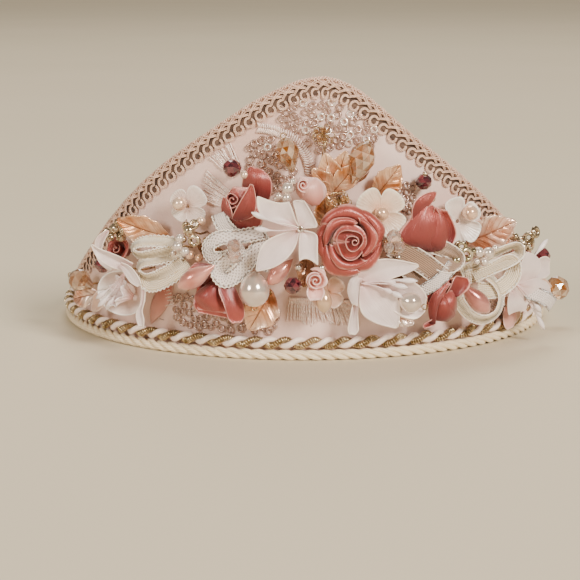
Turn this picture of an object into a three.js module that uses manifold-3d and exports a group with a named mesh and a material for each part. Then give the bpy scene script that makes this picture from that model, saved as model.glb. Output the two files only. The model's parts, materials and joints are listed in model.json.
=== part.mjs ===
// A kokoshnik headdress: a satin-covered band, open at the back, with a scroll gimp folded over its top
// edge, two twisted cords round its rim, and clay flowers, leaves, bows, drops and beads wired to its front.
// Millimetres, +Z up. The origin is the middle of the head hollow at the level of the rim; the front is -Y.

import * as THREE from 'three';
import { mergeVertices } from 'three/addons/utils/BufferGeometryUtils.js';
import Module from 'manifold-3d';

const wasm = await Module();
wasm.setup();

const gap = 0.3; // clear space kept between neighbouring pieces
const degree = Math.PI / 180;

// The band, as an ellipse in plan seen from above
const bandHalfWidth = 75.6;
const bandHalfDepth = 78.6;
const bandWall = 2.6;

// The gimp's top edge: angle round the band from its front, in degrees, and height above the rim
const crestRows = [
  { angle: -100, height: 9.0 },
  { angle: -90, height: 9.6 },
  { angle: -81, height: 11.6 },
  { angle: -70, height: 18.6 },
  { angle: -60, height: 27.4 },
  { angle: -50, height: 38.0 },
  { angle: -40, height: 48.6 },
  { angle: -30, height: 58.2 },
  { angle: -20, height: 66.8 },
  { angle: -11, height: 74.4 },
  { angle: -4, height: 79.0 },
  { angle: 0, height: 80.8 },
  { angle: 4, height: 81.4 },
  { angle: 7.5, height: 80.4 },
  { angle: 11, height: 78.2 },
  { angle: 16, height: 73.4 },
  { angle: 24, height: 64.6 },
  { angle: 33, height: 56.0 },
  { angle: 42, height: 47.4 },
  { angle: 51, height: 38.8 },
  { angle: 60, height: 29.4 },
  { angle: 70, height: 19.4 },
  { angle: 81, height: 11.8 },
  { angle: 90, height: 9.6 },
  { angle: 100, height: 9.0 },
];
const bandSteps = crestRows.length - 1;

// The gimp braid's section
const gimpFace = 5.6;
const gimpBack = 4.4;
const gimpThick = 1.2;
const gimpCap = 1.6;

// The two cords round the rim
const creamRadius = 1.55;
const goldRadius = 1.75;
const cordSides = 8;
const cordSteps = 24;
const cordEnd = 98;
const creamHeight = creamRadius + 0.05;
const goldHeight = creamHeight + creamRadius + gap + goldRadius;

// Wired ornaments
const stalkRadius = 0.7;
const stalkSides = 4;
const petalThick = 0.7;
const leafThick = 0.8;
const ribbonThick = 0.6;
const knotSize = 3;
const ribbonSteps = 5;

const looks = {
  satin: { color: '#e6d0ca', roughness: 0.45, metalness: 0 },
  gimp: { color: '#b99d8b', roughness: 0.7, metalness: 0 },
  goldCord: { color: '#d8c29a', roughness: 0.45, metalness: 0.4 },
  creamCord: { color: '#e9e0cc', roughness: 0.7, metalness: 0 },
  coral: { color: '#c6776a', roughness: 0.4, metalness: 0 },
  blush: { color: '#e2b3a8', roughness: 0.45, metalness: 0 },
  white: { color: '#efe5e2', roughness: 0.45, metalness: 0 },
  cream: { color: '#eee2cf', roughness: 0.5, metalness: 0 },
  peach: { color: '#e0b79c', roughness: 0.45, metalness: 0 },
  copper: { color: '#cf9470', roughness: 0.35, metalness: 0.4 },
  orange: { color: '#d39a5e', roughness: 0.35, metalness: 0.3 },
  silverRibbon: { color: '#ddd5d2', roughness: 0.35, metalness: 0.2 },
  creamRibbon: { color: '#efe6d3', roughness: 0.4, metalness: 0 },
  pearl: { color: '#f1ebe2', roughness: 0.2, metalness: 0 },
  coralGloss: { color: '#d58b7b', roughness: 0.2, metalness: 0 },
  champagne: { color: '#c79a6a', roughness: 0.08, metalness: 0 },
  garnet: { color: '#6d2424', roughness: 0.08, metalness: 0 },
  clear: { color: '#e3d3cb', roughness: 0.05, metalness: 0 },
  goldBead: { color: '#c4a76b', roughness: 0.25, metalness: 0.8 },
};

// Solids

// A closed three.js geometry as a solid, with its shared corners merged and its faces pointing out.
function solidOf(geometry) {
  const bare = geometry.index ? geometry.clone() : geometry;
  bare.deleteAttribute('normal');
  bare.deleteAttribute('uv');
  const merged = mergeVertices(bare, 1e-4);
  const points = merged.attributes.position;
  const corners = [new THREE.Vector3(), new THREE.Vector3(), new THREE.Vector3()];
  const triangles = [];
  let volume = 0;
  for (let i = 0; i < merged.index.count; i += 3) {
    const [a, b, c] = [0, 1, 2].map((k) => merged.index.getX(i + k));
    if (a === b || b === c || c === a) continue;
    triangles.push([a, b, c]);
    [a, b, c].forEach((vertex, k) => corners[k].fromBufferAttribute(points, vertex));
    volume += corners[0].dot(corners[1].clone().cross(corners[2]));
  }
  const outward = volume > 0 ? triangles : triangles.map(([a, b, c]) => [a, c, b]);
  return new wasm.Manifold(new wasm.Mesh({
    numProp: 3,
    vertProperties: new Float32Array(points.array),
    triVerts: new Uint32Array(outward.flat()),
  }));
}

function geometryOf(solid) {
  const mesh = solid.getMesh();
  const indexed = new THREE.BufferGeometry();
  indexed.setAttribute('position', new THREE.BufferAttribute(new Float32Array(mesh.vertProperties), 3));
  indexed.setIndex(new THREE.BufferAttribute(new Uint32Array(mesh.triVerts), 1));
  return indexed;
}

function fuse(solids) {
  return solids.reduce((whole, solid) => whole.add(solid));
}

// The biggest of the bodies that a cut leaves.
function largest(solid) {
  return solid.decompose().reduce((best, body) => (body.volume() > best.volume() ? body : best));
}

function moved(solid, matrix) {
  return solidOf(geometryOf(solid).applyMatrix4(matrix));
}

// A thin closed wall that follows place(u, v), u running 0 to 1 along it and v -1 to 1 across it.
function sheet(place, along, across, thickness) {
  const box = new THREE.BoxGeometry(1, 1, 1, across, along, 1);
  const points = box.attributes.position;
  const step = 0.01;
  for (let i = 0; i < points.count; i += 1) {
    const u = points.getY(i) + 0.5;
    const v = points.getX(i) * 2;
    const alongWall = place(u + step, v).sub(place(u - step, v));
    const acrossWall = place(u, v + step).sub(place(u, v - step));
    const out = acrossWall.cross(alongWall).normalize();
    const at = place(u, v).addScaledVector(out, points.getZ(i) * thickness);
    points.setXYZ(i, at.x, at.y, at.z);
  }
  return solidOf(box);
}

// A solid of revolution round local Z, from [radius, out] rows that start and end on the axis.
function turned(rows, sides) {
  const profile = rows.map(([radius, out]) => new THREE.Vector2(radius, out));
  return solidOf(new THREE.LatheGeometry(profile, sides).rotateX(90 * degree));
}

function ball(radius, at) {
  return solidOf(new THREE.SphereGeometry(radius, 10, 4).translate(at.x, at.y, at.z));
}

// A straight rod between two points, its radius changing from the first to the second.
function rod(from, to, radiusFrom, radiusTo) {
  const length = from.distanceTo(to);
  const geometry = new THREE.CylinderGeometry(radiusTo, radiusFrom, length, stalkSides);
  const turn = new THREE.Quaternion().setFromUnitVectors(
    new THREE.Vector3(0, 1, 0),
    to.clone().sub(from).normalize(),
  );
  geometry.applyQuaternion(turn);
  const middle = from.clone().add(to).multiplyScalar(0.5);
  return solidOf(geometry.translate(middle.x, middle.y, middle.z));
}

// The band and its trims

// A point on the band's outer face, or `out` in front of it.
function wallPoint(angle, height, out) {
  const turn = angle * degree;
  return new THREE.Vector3(
    (bandHalfWidth + out) * Math.sin(turn),
    -(bandHalfDepth + out) * Math.cos(turn),
    height,
  );
}

const crestCurve = new THREE.SplineCurve(crestRows.map((row) => new THREE.Vector2(row.angle, row.height)));

// The point `below` under the gimp's top edge, measured square to that edge in the face of the wall.
function crestPoint(u, below, out) {
  const at = crestCurve.getPoint(u);
  const slope = crestCurve.getTangent(u);
  const arcPerDegree = bandHalfWidth * degree;
  const run = new THREE.Vector2(slope.x * arcPerDegree, slope.y).normalize();
  return wallPoint(at.x + (below * run.y) / arcPerDegree, at.y - below * run.x, out);
}

function band(grow) {
  const box = new THREE.BoxGeometry(1, 1, 1, bandSteps, 1, 1);
  const points = box.attributes.position;
  for (let i = 0; i < points.count; i += 1) {
    const u = points.getX(i) + 0.5;
    const out = points.getZ(i) > 0 ? grow : -bandWall - grow;
    const top = crestPoint(u, gimpCap + gap - grow, out);
    const at = points.getY(i) > 0 ? top : wallPoint(crestCurve.getPoint(u).x, -grow, out);
    points.setXYZ(i, at.x, at.y, at.z);
  }
  return solidOf(box);
}

function gimp(grow) {
  const front = gap - grow;
  const back = -bandWall - gap + grow;
  const outer = gap + gimpThick + grow;
  const inner = -bandWall - gap - gimpThick - grow;
  const under = gimpCap + grow;
  const section = new THREE.Shape([
    new THREE.Vector2(front, gimpFace + grow),
    new THREE.Vector2(outer, gimpFace + grow),
    new THREE.Vector2(outer, 0.8 * gimpCap),
    new THREE.Vector2(0, -grow),
    new THREE.Vector2(-bandWall, -grow),
    new THREE.Vector2(inner, 0.8 * gimpCap),
    new THREE.Vector2(inner, gimpBack + grow),
    new THREE.Vector2(back, gimpBack + grow),
    new THREE.Vector2(back, under),
    new THREE.Vector2(front, under),
  ]);
  const strip = new THREE.ExtrudeGeometry(section, { depth: 1, steps: bandSteps, bevelEnabled: false });
  const points = strip.attributes.position;
  for (let i = 0; i < points.count; i += 1) {
    const at = crestPoint(points.getZ(i), points.getY(i), points.getX(i));
    const lowest = goldHeight + goldRadius + gap - grow;
    points.setXYZ(i, at.x, at.y, Math.max(at.z, points.getX(i) > 0 ? lowest : at.z));
  }
  return solidOf(strip);
}

class RimCurve extends THREE.Curve {
  constructor(height, out) {
    super();
    this.height = height;
    this.out = out;
  }

  getPoint(u) {
    return wallPoint((2 * u - 1) * cordEnd, this.height, this.out);
  }
}

function cord(radius, height, grow) {
  const section = new THREE.Shape();
  section.absarc(0, 0, radius + grow, 0, 2 * Math.PI);
  const path = new RimCurve(height, gap + radius);
  const settings = { steps: cordSteps, curveSegments: cordSides / 2, extrudePath: path, bevelEnabled: false };
  return solidOf(new THREE.ExtrudeGeometry(section, settings));
}

// Clay flowers and leaves

// One petal in the flower's face, as a bent plate: toward is its heading from local X, the widths are half
// widths at its root, middle and tip, corner draws the two tip corners on, skew draws the left one further
// than the right one, and lift raises the tip.
function petal({ toward, length, root = 0.6, middle, tip = 0.4, corner = 0, skew = 0, lift = 2 }, grow) {
  const start = 1.3 - grow;
  const end = length + grow;
  const half = 0.5 * length;
  const side = (sign) => [
    new THREE.Vector2(start, sign * (root + grow)),
    new THREE.Vector2(half, sign * (middle + grow)),
    new THREE.Vector2(end + corner + sign * skew, sign * (tip + grow)),
  ];
  const notch = corner > 0 ? [new THREE.Vector2(end, 0)] : [];
  const outline = new THREE.Shape([...side(-1), ...notch, ...side(1).reverse()]);
  const plate = new THREE.ExtrudeGeometry(outline, { depth: petalThick + 2 * grow, bevelEnabled: false });
  const points = plate.attributes.position;
  for (let i = 0; i < points.count; i += 1) {
    const out = points.getZ(i) - petalThick / 2 - grow + lift * (points.getX(i) / length) ** 2;
    points.setZ(i, out);
  }
  return solidOf(plate.rotateZ(toward * degree));
}

// A stamen from the flower's middle: toward, reach across the face and rise out of it, widest at its tip.
function stamen({ toward, reach, rise }, grow) {
  const heading = toward * degree;
  const tip = new THREE.Vector3(reach * Math.cos(heading), reach * Math.sin(heading), rise);
  return rod(new THREE.Vector3(0, 0, 0.6), tip, 0.35 + grow, 0.9 + grow);
}

function flower({ petals, stamens = [], heart = 1.8 }, grow) {
  const calyx = [
    [0, -2 - grow],
    [1 + grow, -2 - grow],
    [heart + grow, 0.9 + grow],
    [0, 1.2 + grow],
  ];
  return fuse([
    turned(calyx, 6),
    ...petals.map((row) => petal(row, grow)),
    ...stamens.map((row) => stamen(row, grow)),
  ]);
}

// A turned solid whose rings wave in and out: each row is [radius, out, wave], the wave a share of the
// radius, with `lobes` of them round the ring.
function lobed(rows, sides, lobes) {
  const profile = rows.map(([radius, out]) => new THREE.Vector2(radius, out));
  const lathe = new THREE.LatheGeometry(profile, sides).rotateX(90 * degree);
  const points = lathe.attributes.position;
  for (let i = 0; i < points.count; i += 1) {
    const wave = rows[i % rows.length][2] ?? 0;
    const heading = Math.atan2(points.getY(i), points.getX(i));
    const scale = 1 + wave * Math.cos(lobes * heading);
    points.setXY(i, points.getX(i) * scale, points.getY(i) * scale);
  }
  return solidOf(lathe);
}

// A flat blossom of five round petals with a pearl in its middle.
function blossom({ radius, pearl = 1.2, dish = 1.2 }, grow) {
  const rows = [
    [0, -1.4 - grow],
    [radius + grow, dish - petalThick - grow, 0.14],
    [radius + grow, dish + grow, 0.14],
    [pearl + grow, 0.4 + grow],
    [pearl + grow, 0.4 + pearl + grow],
    [0, 0.4 + 1.9 * pearl + grow],
  ];
  return lobed(rows, 15, 5);
}

// A rose opening along local Z: a cup of outer petals, a ring of inner ones and a closed heart. The room
// that its neighbours leave it is a plain cup round them all.
function rose({ radius }, grow) {
  if (grow > 0) {
    return turned([
      [0, -0.7 * radius - grow],
      [0.4 * radius + grow, -0.68 * radius - grow],
      [1.06 * radius + grow, -0.04 * radius],
      [0.98 * radius + grow, 0.14 * radius + grow],
      [0.3 * radius, 0.38 * radius + grow],
      [0, 0.38 * radius + grow],
    ], 8);
  }
  const rows = [
    [0, -0.7],
    [0.3, -0.66],
    [0.68, -0.36],
    [1, -0.02, 0.06],
    [0.9, 0.1, 0.06],
    [0.64, -0.1, 0.03],
    [0.58, 0.22, 0.1],
    [0.47, 0.24, 0.1],
    [0.36, 0, 0.06],
    [0.22, 0.34, 0.12],
    [0, 0.28],
  ];
  return lobed(rows.map(([reach, out, wave]) => [reach * radius, out * radius, wave]), 12, 3);
}

// A rose bud: one wrapped ring of petals round a closed heart.
function bud({ radius }, grow) {
  const rows = [
    [0, -0.8 * radius - grow],
    [0.7 * radius + grow, -0.5 * radius],
    [radius + grow, 0.05 * radius, 0.06],
    [0.8 * radius + grow, 0.4 * radius + grow, 0.1],
    [0.5 * radius, 0.3 * radius + grow, 0.05],
    [0.34 * radius, 0.55 * radius + grow],
    [0, 0.5 * radius + grow],
  ];
  return lobed(rows, 9, 3);
}

// A leaf from its root near the wall along local Y: it rises off its root, folds along its midrib and curls.
function leaf({ length, width, standOff, fold = 1, curl = 2 }, grow) {
  const dip = standOff - gap - leafThick / 2;
  const place = (u, v) => {
    const share = Math.min(1, Math.max(0, u));
    const wide = 0.5 + (width / 2 - 0.3) * Math.sin(Math.PI * share ** 0.85) + grow;
    const rise = curl * share ** 2 - dip * (1 - share) ** 5;
    return new THREE.Vector3(
      wide * v,
      -grow + (length + 2 * grow) * u,
      rise + fold * Math.abs(v) * Math.sin(Math.PI * share),
    );
  };
  return sheet(place, 4, 2, leafThick + 2 * grow);
}

// Bows, drops, stones and beads

// A bow of loops: each leaves the knot toward its heading, runs out, turns and comes back beside itself.
function bow({ loops, width }, grow) {
  const strips = loops.map(({ toward, reach, open, rise, flat = 0.75 }) => {
    const heading = toward * degree;
    const place = (u, v) => {
      const turn = 2 * Math.PI * (0.08 + 0.84 * u);
      const ahead = (reach * (1 - Math.cos(turn))) / 2;
      const lean = (width / 2 + grow) * v;
      const aside = open * Math.sin(turn) * Math.sin(turn / 2) + lean * flat;
      return new THREE.Vector3(
        ahead * Math.cos(heading) - aside * Math.sin(heading),
        ahead * Math.sin(heading) + aside * Math.cos(heading),
        rise + lean * Math.sqrt(1 - flat * flat),
      );
    };
    return sheet(place, ribbonSteps, 1, ribbonThick + 2 * grow);
  });
  const side = knotSize + 2 * grow;
  const knot = solidOf(new THREE.BoxGeometry(side, side, side + width / 2));
  return fuse([knot, ...strips]);
}

// A drop along local Y, its small end first.
function drop({ length, radius }, grow) {
  const half = length / 2;
  const rows = [
    [0, -half - grow],
    [0.6 * radius + grow, -0.5 * half],
    [radius + grow, 0.25 * half],
    [0.72 * radius + grow, 0.8 * half],
    [0, half + grow],
  ];
  return turned(rows, 10).rotate([-90, 0, 0]);
}

// A cut stone along local Y, with a flat table at each end and three bands of facets.
function cutStone({ length, radius, shoulder = 0.15 }, grow) {
  const half = length / 2;
  const rows = [
    [0, -half - grow],
    [0.35 * radius + grow, -half - grow],
    [0.85 * radius + grow, -0.35 * half],
    [radius + grow, shoulder * half],
    [0.55 * radius + grow, half + grow],
    [0, half + grow],
  ];
  return turned(rows, 8).rotate([-90, 0, 0]);
}

// Two cones of facets with a table at each end, for each bead of a clear cluster.
function cutCluster({ beads }, grow) {
  const stones = beads.map(({ right, up, out, radius }) => {
    const half = 0.8 * radius + grow;
    const rows = [
      [0, -half],
      [0.5 * radius + grow, -half],
      [radius + grow, 0],
      [0.5 * radius + grow, half],
      [0, half],
    ];
    return turned(rows, 8).translate([right, up, out]);
  });
  return fuse(stones);
}

// Beads drawn tight against the first one, which sits on the wire.
function cluster({ beads }, grow) {
  return fuse(beads.map(({ right, up, out, radius }) => (
    ball(radius + grow, new THREE.Vector3(right, up, out))
  )));
}

// The spray, front pieces first. angle, height and standOff place the middle of each piece; heading is the
// way it faces, in degrees to the wearer's left of straight ahead, nod tips it up and turn spins it.
const spray = [
  {
    name: 'pearls_top', make: cluster, look: 'pearl', angle: -3.1, height: 50.8, standOff: 13, heading: 0,
    beads: [
      { right: 0, up: 0.7, out: 0.4, radius: 1.8 },
      { right: -0.3, up: -1.9, out: 0.6, radius: 1.4 },
      { right: -2.5, up: -1.5, out: 0.2, radius: 1.1 },
    ],
  },
  {
    name: 'pearls_left', make: cluster, look: 'pearl', angle: -23.3, height: 33.9, standOff: 13, heading: -8,
    beads: [
      { right: -1.2, up: 0.2, out: 0.5, radius: 1.5 },
      { right: 1, up: -1.3, out: 0.4, radius: 1.3 },
      { right: -0.5, up: 2.5, out: 0.2, radius: 1.2 },
    ],
  },
  {
    name: 'pearls_right', make: cluster, look: 'pearl', angle: 36.2, height: 29.6, standOff: 13, heading: 15,
    beads: [
      { right: 0.9, up: 0.9, out: 0.4, radius: 1.7 },
      { right: -2.1, up: 1.2, out: 0.3, radius: 1.6 },
      { right: -0.4, up: -1.6, out: 0.4, radius: 1.4 },
    ],
  },
  {
    name: 'crystal_clear_left', make: cutCluster, look: 'clear', angle: -12.7, height: 33.8, standOff: 15,
    heading: -5,
    beads: [
      { right: 0, up: 1.3, out: 0, radius: 2.3 },
      { right: 0.2, up: -1.6, out: 0.2, radius: 2.1 },
    ],
  },
  {
    name: 'crystal_clear_right', make: cutCluster, look: 'clear', angle: 15.6, height: 36.4, standOff: 17,
    heading: 8,
    beads: [
      { right: 0, up: 1.4, out: 0, radius: 2.3 },
      { right: 1.6, up: -1.4, out: 0.2, radius: 1.8 },
      { right: -1.4, up: -1.4, out: 0, radius: 1.7 },
    ],
  },
  {
    name: 'garnet_3', make: cutStone, look: 'garnet', angle: -2.2, height: 24, standOff: 13, heading: 0,
    length: 4.6, radius: 2.6, shoulder: 0,
  },
  {
    name: 'beads_green_right', make: cluster, look: 'goldBead', angle: 31.8, height: 30.2, standOff: 12,
    heading: 14,
    beads: [
      { right: 0.4, up: 0.4, out: 0.4, radius: 2.1 },
      { right: -2.4, up: -1.3, out: 0.2, radius: 1.8 },
      { right: -0.9, up: 2.8, out: 0, radius: 1.5 },
    ],
  },
  {
    name: 'beads_gold_mid', make: cluster, look: 'goldBead', angle: -22, height: 37.6, standOff: 10,
    heading: -8,
    beads: [
      { right: -0.9, up: 0.7, out: 0.4, radius: 1.8 },
      { right: 0.6, up: 2.5, out: 0.2, radius: 1.5 },
      { right: 0.6, up: -2.2, out: 0.4, radius: 1.9 },
    ],
  },
  {
    name: 'drop_coral_left', make: drop, look: 'coralGloss', angle: -19.8, height: 26, standOff: 15,
    heading: -8, turn: 122, length: 11.6, radius: 2.6,
  },
  {
    name: 'pearl_drop', make: drop, look: 'pearl', angle: -9.4, height: 22.6, standOff: 12, heading: -4,
    turn: 0, length: 9.2, radius: 4.3,
  },
  {
    name: 'pearl_low', make: drop, look: 'pearl', angle: 19, height: 18.9, standOff: 16, heading: 8,
    turn: -110, length: 7.4, radius: 3.4,
  },
  {
    name: 'lily_center', make: flower, look: 'white', angle: -0.8, height: 40.4, standOff: 15, heading: -2,
    nod: 2,
    petals: [
      { toward: 132, length: 9.4, middle: 4, tip: 4.4, corner: 1.8, skew: 2.8, lift: 1.4 },
      { toward: 50, length: 5.4, middle: 3, tip: 3.9, corner: 1.2, skew: 0.8, lift: 1 },
      { toward: -56, length: 7.6, middle: 3.4, tip: 3.7, corner: 1.6, skew: -0.6, lift: 1 },
      { toward: -134, length: 13, middle: 5.2, tip: 3, corner: 0.6, skew: -2.2, lift: 1.4 },
    ],
    stamens: [
      { toward: 163, reach: 13.4, rise: 3.4 },
      { toward: 186, reach: 12, rise: 2.4 },
    ],
  },
  {
    name: 'rose_main', make: rose, look: 'coral', angle: 8.2, height: 36.6, standOff: 12.5, heading: 2,
    turn: 100, radius: 11,
  },
  {
    name: 'lily_low', make: flower, look: 'white', angle: 10.5, height: 24.2, standOff: 11.5, heading: 6,
    nod: -4,
    petals: [
      { toward: 20, length: 15.4, middle: 4, tip: 0.4, lift: 2 },
      { toward: -52, length: 14.6, middle: 5.2, tip: 1.4, lift: 2 },
      { toward: -152, length: 4.6, middle: 4.6, tip: 3, lift: -1 },
      { toward: -101, length: 14.4, middle: 1.5, tip: 1.1, lift: -3 },
    ],
    stamens: [{ toward: 2, reach: 12.6, rise: 4 }],
  },
  {
    name: 'rose_left_low', make: rose, look: 'coral', angle: -17.6, height: 20.6, standOff: 10, heading: -14,
    nod: 18, turn: 20, radius: 7.4,
  },
  {
    name: 'rose_right_low', make: rose, look: 'coral', angle: 27.6, height: 17.8, standOff: 10, heading: 24,
    nod: 0, turn: 60, radius: 6.4,
  },
  {
    name: 'rose_left_up', make: rose, look: 'coral', angle: -11.6, height: 44.6, standOff: 9, heading: -16,
    nod: 48, turn: 40, radius: 7,
  },
  {
    name: 'rose_right_up', make: rose, look: 'coral', angle: 24, height: 39.6, standOff: 9, heading: 26,
    nod: 48, turn: 10, radius: 7.4,
  },
  {
    name: 'flower_right', make: flower, look: 'white', angle: 45.4, height: 19.6, standOff: 12, heading: 34,
    nod: -6,
    petals: [
      { toward: 62, length: 9.4, middle: 4.4, tip: 1.6, lift: -1 },
      { toward: 8, length: 12.5, middle: 5, tip: 4.6, lift: 0 },
      { toward: -62, length: 10, middle: 4.6, tip: 2, lift: -1 },
      { toward: -112, length: 8.6, middle: 3, tip: 0.6, lift: -1 },
      { toward: 36, length: 15, middle: 2, tip: 1.6, lift: -3 },
    ],
    stamens: [
      { toward: -46, reach: 17, rise: 2 },
      { toward: -34, reach: 15, rise: 2.4 },
    ],
  },
  {
    name: 'lily_left', make: flower, look: 'white', angle: -36.1, height: 25.6, standOff: 12, heading: -24,
    nod: -4,
    petals: [
      { toward: 146, length: 13.6, middle: 2.6, tip: 0.4, lift: 2 },
      { toward: -24, length: 8.6, middle: 2.7, tip: 1.4, lift: 0.6 },
      { toward: -72, length: 17.4, middle: 1, tip: 1.5, lift: 2 },
      { toward: -142, length: 15.6, middle: 5.6, tip: 4.6, corner: 1, lift: -1 },
      { toward: 172, length: 13.4, middle: 3.4, tip: 2.6, lift: -3 },
    ],
    stamens: [{ toward: -150, reach: 12, rise: 3 }],
  },
  {
    name: 'bud_top', make: bud, look: 'blush', angle: 1.6, height: 50.4, standOff: 10, heading: 0,
    nod: 14, turn: 30, radius: 4.1,
  },
  {
    name: 'bud_low', make: bud, look: 'blush', angle: 2, height: 25.4, standOff: 12, heading: 0,
    nod: 0, turn: 70, radius: 3.8,
  },
  {
    name: 'cream_right', make: blossom, look: 'cream', angle: 14.8, height: 43.7, standOff: 8.5, heading: 10,
    turn: 12, radius: 6.8, pearl: 2,
  },
  {
    name: 'drop_copper_right', make: drop, look: 'copper', angle: 35.5, height: 16.8, standOff: 10.5,
    heading: 18, turn: -135, length: 11, radius: 2.5,
  },
  {
    name: 'drop_coral_mid', make: drop, look: 'coralGloss', angle: -4.7, height: 27.4, standOff: 9.5,
    heading: 0, turn: 135, length: 10.4, radius: 2.4,
  },
  {
    name: 'drop_ivory', make: drop, look: 'pearl', angle: 3.6, height: 19.4, standOff: 11, heading: 2,
    turn: 180, length: 5.6, radius: 1.8,
  },
  {
    name: 'ribbon_cream_left', make: bow, look: 'creamRibbon', angle: -29.6, height: 28, standOff: 8.5,
    heading: -14, width: 4.4,
    loops: [
      { toward: 170, reach: 10, open: 3, rise: 2.4 },
      { toward: -150, reach: 10.5, open: 3, rise: -0.8 },
      { toward: 24, reach: 7, open: 2.4, rise: 1 },
    ],
  },
  {
    name: 'ribbon_silver_left', make: bow, look: 'silverRibbon', angle: -13, height: 33, standOff: 9,
    heading: -4, width: 4.4,
    loops: [
      { toward: 122, reach: 10.5, open: 3, rise: 1 },
      { toward: -72, reach: 9.5, open: 3.2, rise: 1 },
      { toward: -176, reach: 7, open: 2.4, rise: 1 },
    ],
  },
  {
    name: 'ribbon_taupe_right', make: bow, look: 'silverRibbon', angle: 23.4, height: 28.8, standOff: 8.5,
    heading: 14, width: 5,
    loops: [
      { toward: 146, reach: 10, open: 2.6, rise: 1 },
      { toward: -42, reach: 10, open: 2.8, rise: 1 },
      { toward: 26, reach: 10, open: 2.4, rise: 1 },
    ],
  },
  {
    name: 'ribbon_cream_right', make: bow, look: 'creamRibbon', angle: 39.4, height: 25, standOff: 8.5,
    heading: 20, width: 4.2,
    loops: [
      { toward: 30, reach: 9.5, open: 2.2, rise: 2.2 },
      { toward: -24, reach: 8.5, open: 3, rise: -0.6 },
      { toward: 184, reach: 6, open: 2, rise: 1 },
    ],
  },
  {
    name: 'ribbon_pearly_low', make: bow, look: 'creamRibbon', angle: 36.6, height: 16, standOff: 8,
    heading: 18, width: 3.4,
    loops: [
      { toward: -42, reach: 11, open: 5.4, rise: 1.6, flat: 0.6 },
    ],
  },
  {
    name: 'garnet_1', make: cutStone, look: 'garnet', angle: -14.5, height: 56.3, standOff: 7, heading: -6,
    length: 4.8, radius: 2.8, shoulder: 0, nod: 40,
  },
  {
    name: 'garnet_2', make: cutStone, look: 'garnet', angle: 25.4, height: 51.4, standOff: 4.2, heading: 12,
    length: 4.4, radius: 2.5, shoulder: 0,
  },
  {
    name: 'garnet_4', make: cutStone, look: 'garnet', angle: -46.2, height: 24.8, standOff: 8, heading: -28,
    length: 4.6, radius: 2.6, shoulder: 0,
  },
  {
    name: 'garnet_5', make: cutStone, look: 'garnet', angle: 58.7, height: 25.2, standOff: 9.5, heading: 36,
    length: 4.6, radius: 2.6, shoulder: 0,
  },
  {
    name: 'crystal_top_left', make: cutStone, look: 'champagne', angle: -3.3, height: 60.1, standOff: 6.5,
    heading: 0, turn: 14, length: 9.8, radius: 3.5,
  },
  {
    name: 'crystal_top_right', make: cutStone, look: 'champagne', angle: 10.9, height: 57.6, standOff: 6.5,
    heading: 6, turn: -20, length: 11, radius: 3.7,
  },
  {
    name: 'crystal_far_left', make: cutStone, look: 'champagne', angle: -56.4, height: 17.4, standOff: 6.5,
    heading: -34, turn: 72, length: 8.4, radius: 3,
  },
  {
    name: 'crystal_far_right', make: cutStone, look: 'champagne', angle: 70.5, height: 11.6, standOff: 8.5,
    heading: 44, turn: -70, length: 9, radius: 3.6,
  },
  {
    name: 'beads_gold_left', make: cluster, look: 'goldBead', angle: -42.5, height: 35.6, standOff: 7.5,
    heading: -24,
    beads: [
      { right: 0.5, up: 0.7, out: 0.5, radius: 1.7 },
      { right: -2.2, up: -1.2, out: 0.3, radius: 1.8 },
      { right: 2.2, up: -1.8, out: 0.3, radius: 1.6 },
    ],
  },
  {
    name: 'beads_gold_right', make: cluster, look: 'goldBead', angle: 51.9, height: 32.2, standOff: 9.5,
    heading: 30,
    beads: [
      { right: 0.2, up: 0, out: 0.4, radius: 1.7 },
      { right: 2.8, up: 1.4, out: 0.3, radius: 1.8 },
      { right: 0.8, up: -2.7, out: 0.3, radius: 1.6 },
    ],
  },
  {
    name: 'bud_far_left', make: bud, look: 'coral', angle: -43, height: 29.4, standOff: 5.5, heading: -36,
    nod: 20, turn: 30, radius: 4.6,
  },
  {
    name: 'bud_far_right', make: bud, look: 'coral', angle: 53.8, height: 26, standOff: 5.5, heading: 44,
    nod: 20, turn: 30, radius: 4.8,
  },
  {
    name: 'peach_low', make: blossom, look: 'peach', angle: 4.2, height: 19.8, standOff: 7, heading: 2,
    turn: -18, radius: 6,
  },
  {
    name: 'cream_left', make: blossom, look: 'white', angle: -25.2, height: 44.2, standOff: 4.5, heading: -14,
    turn: 20, radius: 7, pearl: 1.9,
  },
  {
    name: 'white_right', make: blossom, look: 'cream', angle: 35.2, height: 39.8, standOff: 4.5, heading: 22,
    turn: -10, radius: 7.4, pearl: 2.3,
  },
  {
    name: 'leaf_left', make: leaf, look: 'orange', angle: -30.6, height: 34.6, standOff: 5, heading: -18,
    turn: 72, length: 15.5, width: 8, fold: 1.2, curl: 0,
  },
  {
    name: 'leaf_right', make: leaf, look: 'copper', angle: 37.5, height: 32.4, standOff: 5.5, heading: 24,
    turn: -66, length: 14.6, width: 10.5, fold: 1, curl: 2,
  },
  {
    name: 'leaf_low', make: leaf, look: 'orange', angle: -6, height: 20.2, standOff: 6, heading: -3,
    turn: 152, length: 12.8, width: 9.6, fold: 1, curl: -1,
  },
  {
    name: 'leaf_top_left', make: leaf, look: 'orange', angle: 5.8, height: 49.2, standOff: 4, heading: 2,
    turn: 16, length: 9.6, width: 6.6, fold: 1, curl: 2,
  },
  {
    name: 'leaf_top_right', make: leaf, look: 'copper', angle: 15, height: 47.6, standOff: 4, heading: 10,
    turn: -34, length: 10.2, width: 6.8, fold: 1, curl: 2,
  },
  {
    name: 'leaf_mid', make: leaf, look: 'orange', angle: 4.4, height: 38.6, standOff: 4.6, heading: 2,
    turn: 4, length: 10.6, width: 6.4, fold: 0.8, curl: 2,
  },
  {
    name: 'leaf_far_left', make: leaf, look: 'peach', angle: -54.5, height: 13.6, standOff: 4.5, heading: -40,
    turn: 106, length: 8.6, width: 6.6, fold: 1, curl: 0,
  },
];

// The whole headdress

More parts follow.
